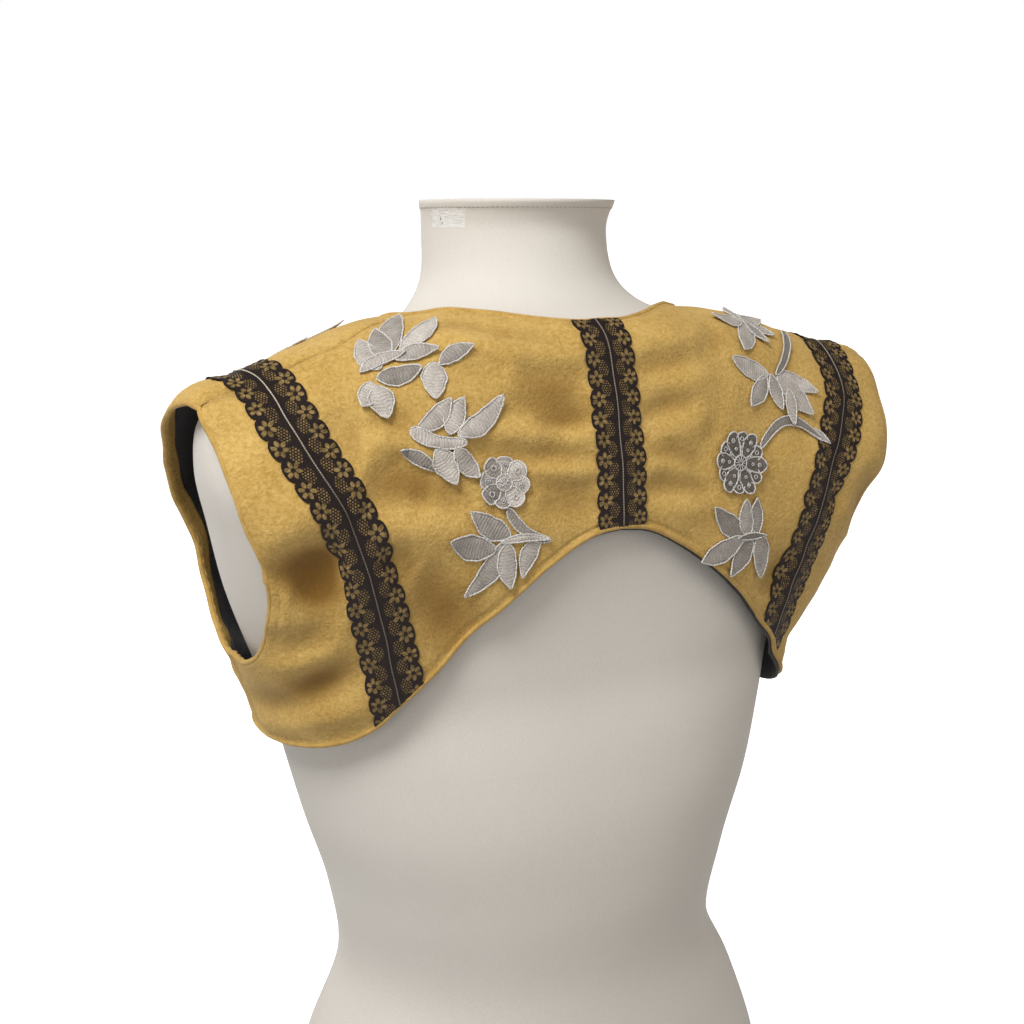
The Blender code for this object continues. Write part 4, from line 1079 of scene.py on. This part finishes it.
def lace(name, node, table, turned, dull):
    """A scalloped band with its ribbed middle, edge cords and raised flowers, cut off along the hem."""
    scallops = max(2, round(length_along(points_on(line_between(table, 200))[0])[-1] / LACE_PITCH))
    rough = line_between(table, scallops * 3)
    offsets = np.linspace(-LACE_HALF - 1, LACE_HALF + 1, 9)
    places = np.stack([side_of(rough, np.full(len(rough), k)) for k in offsets], 1)
    hem = spline(HEM_BACK, np.linspace(0, len(HEM_BACK) - 1, 400))
    tries = np.linspace(scallops / 2, scallops, 400)
    tried = spline(places, tries * 3)
    beyond = tried[..., 0] > np.interp(90 - np.abs(tried[..., 1] - 90), hem[:, 1], hem[:, 0])
    lean, last = np.polyfit(offsets, tries[beyond.argmax(0)], 1)
    scallops = round(last)
    u = np.linspace(0, scallops, scallops * LACE_STEPS + 1)
    lean = lean * np.clip((u - scallops + 5) / 5, 0, 1) ** 2
    fine = np.stack([spline(places[:, k], (u * last / scallops + lean * off) * 3)
                     for k, off in enumerate(offsets)], 1)
    w = np.linspace(-1, 1, LACE_ACROSS + 1)
    at_edge = u[:, None] + lean[:, None] * LACE_HALF * np.sign(w)
    edge = LACE_HALF - LACE_NOTCH * (1 - (1 - np.abs(2 * (at_edge % 1 - 0.5)) ** 2.2) ** 0.6)
    a = edge * w
    along = u[:, None] + lean[:, None] * a
    at = (a - offsets[0]) / (offsets[1] - offsets[0])
    low = np.clip(np.floor(at).astype(int), 0, len(offsets) - 2)
    share = (at - low)[..., None]
    take = lambda k: np.take_along_axis(fine, np.clip(low + k, 0, len(offsets) - 1)[..., None], 1)
    grid = take(0) * (1 - share) + take(1) * share
    if turned:
        grid = mirrored(grid)
    s, deg = grid[..., 0], grid[..., 1]
    points = cloth_surface(s, deg)
    out = facing_out(points, s, deg)
    gap = edge - np.abs(a)
    r = np.hypot(np.abs(along % 1 - 0.5) * LACE_PITCH, np.abs(a) - LACE_FLOWER)
    height = 0.75 + 0.30 * np.clip((3.6 - np.abs(a)) / 0.6, 0, 1) * (1 + 0.35 * np.cos(2 * pi * a / 1.3))
    height += 0.35 * np.exp(-(((gap - 0.55) / 0.6) ** 2)) + 0.30 * np.exp(-((r / 1.2) ** 2))
    height += 0.18 * np.exp(-(((r - 4.5) / 0.6) ** 2))
    ends = np.minimum(u, scallops - u)[:, None] * LACE_PITCH
    height -= 1.6 * np.clip(1 - ends / 2.2, 0, 1) ** 2
    mark = np.stack([along + 0.5, a, gap], -1)
    piece = wall(name, points + height[..., None] * out, None, [LACE], LACE_WALL, mark)
    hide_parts(node)
    middle = (points + 1.35 * out)[:, LACE_ACROSS // 2]
    bm = bmesh.new()
    tube(bm, middle[2:-2], 0.36, sides=6, out=out[2:-2, LACE_ACROSS // 2], mark=(0.0, dull, 0.0))
    bmesh.ops.recalc_face_normals(bm, faces=bm.faces[:])
    new_piece(f"{name}_thread", bm, [CREAM])


lace("lace_band_centre", "lace_centre", LACE_CENTRE, False, 0.75)
lace("lace_band_left", "lace_left", LACE_SIDE, False, 0.0)
lace("lace_band_right", "lace_right", LACE_SIDE, True, 0.5)


# embroidery

CORD_RADIUS, FILL_WALL = 0.46, 0.5   # the leaves' outline cord and their thread fill


def outline_of(kind, t):
    """Half width along a motif, from 0 to 1."""
    if kind == "petal":
        return np.sqrt(1 - np.abs(2 * t**1.35 - 1) ** 2.3)
    if kind == "stem":
        return (1 - np.abs(2 * t - 1) ** 5) ** 0.5 * (1 - 0.35 * t)
    return np.sin(pi * t**0.88) ** 0.8


def motif(fill, cord, rows, kind="leaf", steps=26, across=8):
    """Leaves, petals or stems of thread, each with a cord round its outline."""
    for number, (s_foot, deg_foot, s_tip, deg_tip, width, level, tone, bend) in enumerate(rows):
        foot, tip = np.array([s_foot, deg_foot]), np.array([s_tip, deg_tip])
        middle = (foot + tip) / 2
        ends = cloth_surface(np.array([foot[0], tip[0]]), np.array([foot[1], tip[1]]))
        out = normal_of(cloth_surface, middle[0], middle[1])
        ahead = ends[1] - ends[0]
        ahead = ahead - (ahead @ out) * out
        length = np.linalg.norm(ahead)
        ahead = ahead / length
        side = np.cross(out, ahead)
        count = max(steps, round(length / 0.45))
        t = np.linspace(0, 1, count + 1)
        uneven = 1 + 0.05 * np.sin(9 * t + 2.4 * number) + 0.03 * np.sin(23 * t + number)
        wide = width / 2 * np.maximum(outline_of(kind, t), 0.02) * uneven
        w = np.linspace(-1, 1, across + 1)
        sway = bend * length * np.sin(pi * t)
        local = (ahead * ((t - 0.5) * length)[:, None, None]
                 + side * (sway[:, None] + wide[:, None] * w[None])[..., None])
        places = step_along(np.broadcast_to(middle, local.shape[:2] + (2,)).copy(), local)
        s, deg = places[..., 0], places[..., 1]
        points = cloth_surface(s, deg)
        normals = normal_of(cloth_surface, s, deg)
        base = 0.55 + 0.35 * level
        lift = 0.0 if kind == "stem" else 1.7 * (np.clip(t - 0.5, 0, 1) * 2) ** 2
        along = t * length
        apart = wide[:, None] * w[None]
        rib = np.sin(2 * pi * (along[:, None] + RIB_SLANT * np.abs(apart)) / RIB_PITCH)
        height = base + np.reshape(lift, (-1, 1)) + 0.65 * (1 - w[None] ** 2) + 0.05 * rib
        marks = np.stack(np.broadcast_arrays(along[:, None], apart, tone), -1)
        grid = points + height[..., None] * normals
        laid_grid(fill, grid, mark=marks)
        rim = np.concatenate([grid[:, 0], grid[-2:0:-1, -1]])
        rim_out = np.concatenate([normals[:, 0], normals[-2:0:-1, -1]])
        thick = CORD_RADIUS + 0.07 * np.sin(1.3 * np.r_[np.arange(len(rim)), 0] + number)
        tube(cord, rim + 0.25 * rim_out, thick, closed=True, out=rim_out)


def embroidery(name, node, fill, cord):
    bmesh.ops.recalc_face_normals(cord, faces=cord.faces[:])
    fill.normal_update()
    axis = Vector(BODY_AXIS)
    inward = [f for f in fill.faces
              if f.normal.dot((f.calc_center_median() - axis) * Vector((1, 1, 0.3))) < 0]
    bmesh.ops.reverse_faces(fill, faces=inward)
    piece = new_piece(f"{name}_fill", fill, [FILL])
    solid = piece.modifiers.new("thickness", "SOLIDIFY")
    solid.thickness, solid.offset, solid.use_even_offset = FILL_WALL * MM, -1.0, False
    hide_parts(node)
    new_piece(f"{name}_cord", cord, [CORD])


def sprays(name, node, rows, stems=(), turned=False):
    fill, cord = bmesh.new(), bmesh.new()
    if turned:
        rows = [(a, 180 - b, c, 180 - d, *rest[:-1], -rest[-1]) for a, b, c, d, *rest in rows]
    motif(fill, cord, rows)
    motif(fill, cord, stems, "stem")
    embroidery(name, node, fill, cord)


sprays("leaves_left_upper_sewn", "leaves_left_upper", SPRAY_LEFT_TOP + SPRAY_LEFT_MIDDLE,
       STEMS_LEFT_UPPER)
sprays("leaves_left_low_sewn", "leaves_left_low", SPRAY_LEFT_LOW, STEMS_LEFT_LOW)
sprays("leaves_right_top_sewn", "leaves_right_top", SPRAY_RIGHT_TOP)
sprays("leaves_right_middle_sewn", "leaves_right_middle", SPRAY_RIGHT_MIDDLE, STEMS_RIGHT_MIDDLE)
sprays("leaves_right_low_sewn", "leaves_right_low", SPRAY_RIGHT_LOW)
sprays("leaves_front_left_sewn", "leaves_front_left", SPRAY_FRONT)
sprays("leaves_front_right_sewn", "leaves_front_right", SPRAY_FRONT, turned=True)


def laid_disc(bm, centre, up, across, out, radius, rise, tone, cells=12):
    """A round of thread fill, crowned by rise: a square grid drawn in to a circle."""
    line = np.linspace(-1, 1, cells + 1)
    u, v = np.meshgrid(line, line, indexing="ij")
    x, y = u * np.sqrt(1 - v**2 / 2) * radius, v * np.sqrt(1 - u**2 / 2) * radius
    r = np.hypot(x, y)
    points = (centre + x[..., None] * across + y[..., None] * up
              + (rise * (1 - (r / radius) ** 2))[..., None] * out)
    laid_grid(bm, points, mark=np.stack(np.broadcast_arrays(r, 0.0, tone), -1))


def ring_round(cord, centre, up, across, out, radius, thick, sides=5, count=14):
    """A small round of cord."""
    turn = 2 * pi * np.arange(count) / count
    ring = centre + radius * (up * np.cos(turn)[:, None] + across * np.sin(turn)[:, None])
    tube(cord, ring, thick, sides=sides, closed=True, out=np.broadcast_to(out, ring.shape))


def flower(name, node, s, deg, radius, petals, petal_width, tone, rings):
    """A ring of petals with small rings in each and a beaded middle."""
    fill, cord, beads = bmesh.new(), bmesh.new(), bmesh.new()
    beads.verts.layers.float_vector.new("place")
    middle = np.array([s, deg])
    out = normal_of(cloth_surface, middle[0], middle[1])
    up = np.array([0.0, 0.0, 1.0])
    up = unit(up - (up @ out) * out)
    across = np.cross(up, out)
    turns = 2 * pi * np.arange(petals) / petals + 0.17
    ways = up * np.cos(turns)[:, None] + across * np.sin(turns)[:, None]
    rows = []
    for k, way in enumerate(ways):
        reach = radius * (0.96 + 0.08 * (k % 2))
        ends = step_along(np.stack([middle, middle]), np.stack([way * 3.2, way * reach]))
        shade = np.clip(tone + 0.15 - 0.4 * max(0.0, sin(turns[k])) + 0.1 * (k % 3), 0, 1)
        rows.append((*ends[0], *ends[1], petal_width, k % 2, shade, 0.0))
    motif(fill, cord, rows, "petal", steps=18)
    for k, way in enumerate(ways):
        lifted = 1.95 + 0.35 * (k % 2)
        for share, size in rings:
            hub = cloth_surface(*step_along(middle, way * radius * share)) + lifted * out
            ring_round(cord, hub, up, across, out, size, 0.26)
            if (k + round(10 * share)) % 2:
                bmesh.ops.create_uvsphere(beads, u_segments=8, v_segments=6, radius=size * 0.6,
                                          matrix=Matrix.Translation(Vector(hub + 0.15 * out)))
    disc = cloth_surface(*middle) + 1.7 * out
    laid_disc(fill, disc, up, across, out, 4.4, 0.5, tone)
    ring_round(cord, disc + 0.1 * out, up, across, out, 4.4, 0.45, count=24)
    for way in ways:
        spoke = disc + way * np.linspace(0.8, 4.2, 8)[:, None] + 0.45 * out
        tube(cord, spoke, 0.22, sides=5, out=np.broadcast_to(out, spoke.shape))
    for k in range(5):
        a = 2 * pi * k / 5
        spot = disc + 1.9 * (up * cos(a) + across * sin(a)) + 0.7 * out
        bmesh.ops.create_uvsphere(beads, u_segments=8, v_segments=6, radius=0.65,
                                  matrix=Matrix.Translation(Vector(spot)))
    embroidery(name, node, fill, cord)
    new_piece(f"{name}_beads", beads, [BEAD])


flower("flower_left_sewn", "flower_left", *FLOWERS["left"])
flower("flower_right_sewn", "flower_right", *FLOWERS["right"])


# the dress form

def form_body(around=144, along=176):
    s = np.linspace(0, len(FORM) - 1, along + 1)
    deg = 360 * np.arange(around + 1) / around
    s_all, deg_all = np.meshgrid(s, deg, indexing="ij")
    hem = 0.6 * (1 - np.clip((s_all - 0.24) / 0.08, 0, 1))
    level = normal_of(form_surface, s_all, deg_all) * [1, 1, 0]
    points = form_surface(s_all, deg_all) + hem[..., None] * level
    rim = points[:1].mean(1, keepdims=True)
    caps = [rim + (points[:1] - rim) * share for share in (0.0, 0.5, 0.93)]
    base = points[-1:].mean(1, keepdims=True) + np.zeros_like(points[-1:])
    skin = np.concatenate([*caps, points, base])
    places = np.stack([s_all, deg_all, 0 * s_all], -1)
    above = np.full((len(caps), around + 1, 3), -1.0)
    marks = np.concatenate([above, places, places[-1:]])
    bm = bmesh.new()
    laid_grid(bm, skin, closed=(False, True), mark=marks)
    bmesh.ops.recalc_face_normals(bm, faces=bm.faces[:])
    piece = new_piece("form_body", bm, [JERSEY])
    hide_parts("dress_form")


form_body()
turn = np.arange(0, 361, 2.0)
rim_s = np.full(len(turn), 0.27)
rim_out = normal_of(form_surface, rim_s, turn)
stitches("neck_rim_stitching", [(form_surface(rim_s, turn) + 0.35 * rim_out, rim_out)], [RIM_STITCH],
         length=1.5, gap=1.3, radius=0.25)

# the studio

def studio():
    """A white backdrop, a pale floor and four soft lights, seen from the photo's angle."""
    scene = bpy.context.scene
    scene.view_settings.view_transform = "Standard"
    world = bpy.data.worlds.new("studio")
    world.use_nodes = True
    nodes, links = world.node_tree.nodes, world.node_tree.links
    soft, white = nodes["Background"], nodes.new("ShaderNodeBackground")
    soft.inputs["Color"].default_value = (1.0, 0.95, 0.89, 1)
    soft.inputs["Strength"].default_value = 0.31
    white.inputs["Color"].default_value = (1, 1, 1, 1)
    white.inputs["Strength"].default_value = 1.0
    seen, either = nodes.new("ShaderNodeLightPath"), nodes.new("ShaderNodeMixShader")
    links.new(seen.outputs["Is Camera Ray"], either.inputs[0])
    links.new(soft.outputs[0], either.inputs[1])
    links.new(white.outputs[0], either.inputs[2])
    links.new(either.outputs[0], nodes["World Output"].inputs["Surface"])
    scene.world = world

    bm = bmesh.new()
    bmesh.ops.create_grid(bm, x_segments=1, y_segments=1, size=40.0)
    mesh = bpy.data.meshes.new("floor")
    bm.to_mesh(mesh)
    bm.free()
    mat, tree, shader = finish("floor_paper", (0.92, 0.92, 0.92), 0.95)
    shader.inputs["Emission Color"].default_value = (1, 1, 1, 1)
    shader.inputs["Emission Strength"].default_value = 1.0
    mesh.materials.append(mat)
    floor = bpy.data.objects.new("floor", mesh)
    floor.visible_diffuse = False
    scene.collection.objects.link(floor)

    # each light's place, width, watts and colour
    for name, place, size, watts, colour in (
        ("key", (0.95, 0.62, 1.75), 0.6, 22.0, (1.0, 0.99, 0.97)),
        ("side", (1.6, 0.9, 0.4), 1.0, 6.0, (1.0, 1.0, 1.0)),
        ("fill", (-1.3, 1.6, 1.3), 1.6, 8.0, (1.0, 0.94, 0.85)),
        ("front", (0.2, -1.8, 1.3), 1.4, 12.0, (1.0, 0.96, 0.91)),
    ):
        light = bpy.data.lights.new(name, "AREA")
        light.size, light.energy, light.color = size, watts, colour
        lamp = bpy.data.objects.new(name, light)
        lamp.location = place
        lamp.rotation_euler = (Vector((0, 0, 0.5)) - lamp.location).to_track_quat("-Z", "Y").to_euler()
        scene.collection.objects.link(lamp)

    yaw, pitch, reach = radians(30), radians(12), 0.825
    wide, focal, aside = 1024, 1340, 10   # the picture's width, its focal length and its shift, in pixels
    aim = Vector((0.0, -MIDDLE[1] * MM, 0.485))
    back_from = Vector((sin(yaw) * cos(pitch), cos(yaw) * cos(pitch), sin(pitch)))
    data = bpy.data.cameras.new("camera")
    data.sensor_width = 36.0
    data.lens = data.sensor_width * focal / wide
    data.shift_x = -aside / wide
    camera = bpy.data.objects.new("camera", data)
    camera.location = aim + back_from * reach
    camera.rotation_euler = (-back_from).to_track_quat("-Z", "Y").to_euler()
    scene.collection.objects.link(camera)
    scene.camera = camera


studio()
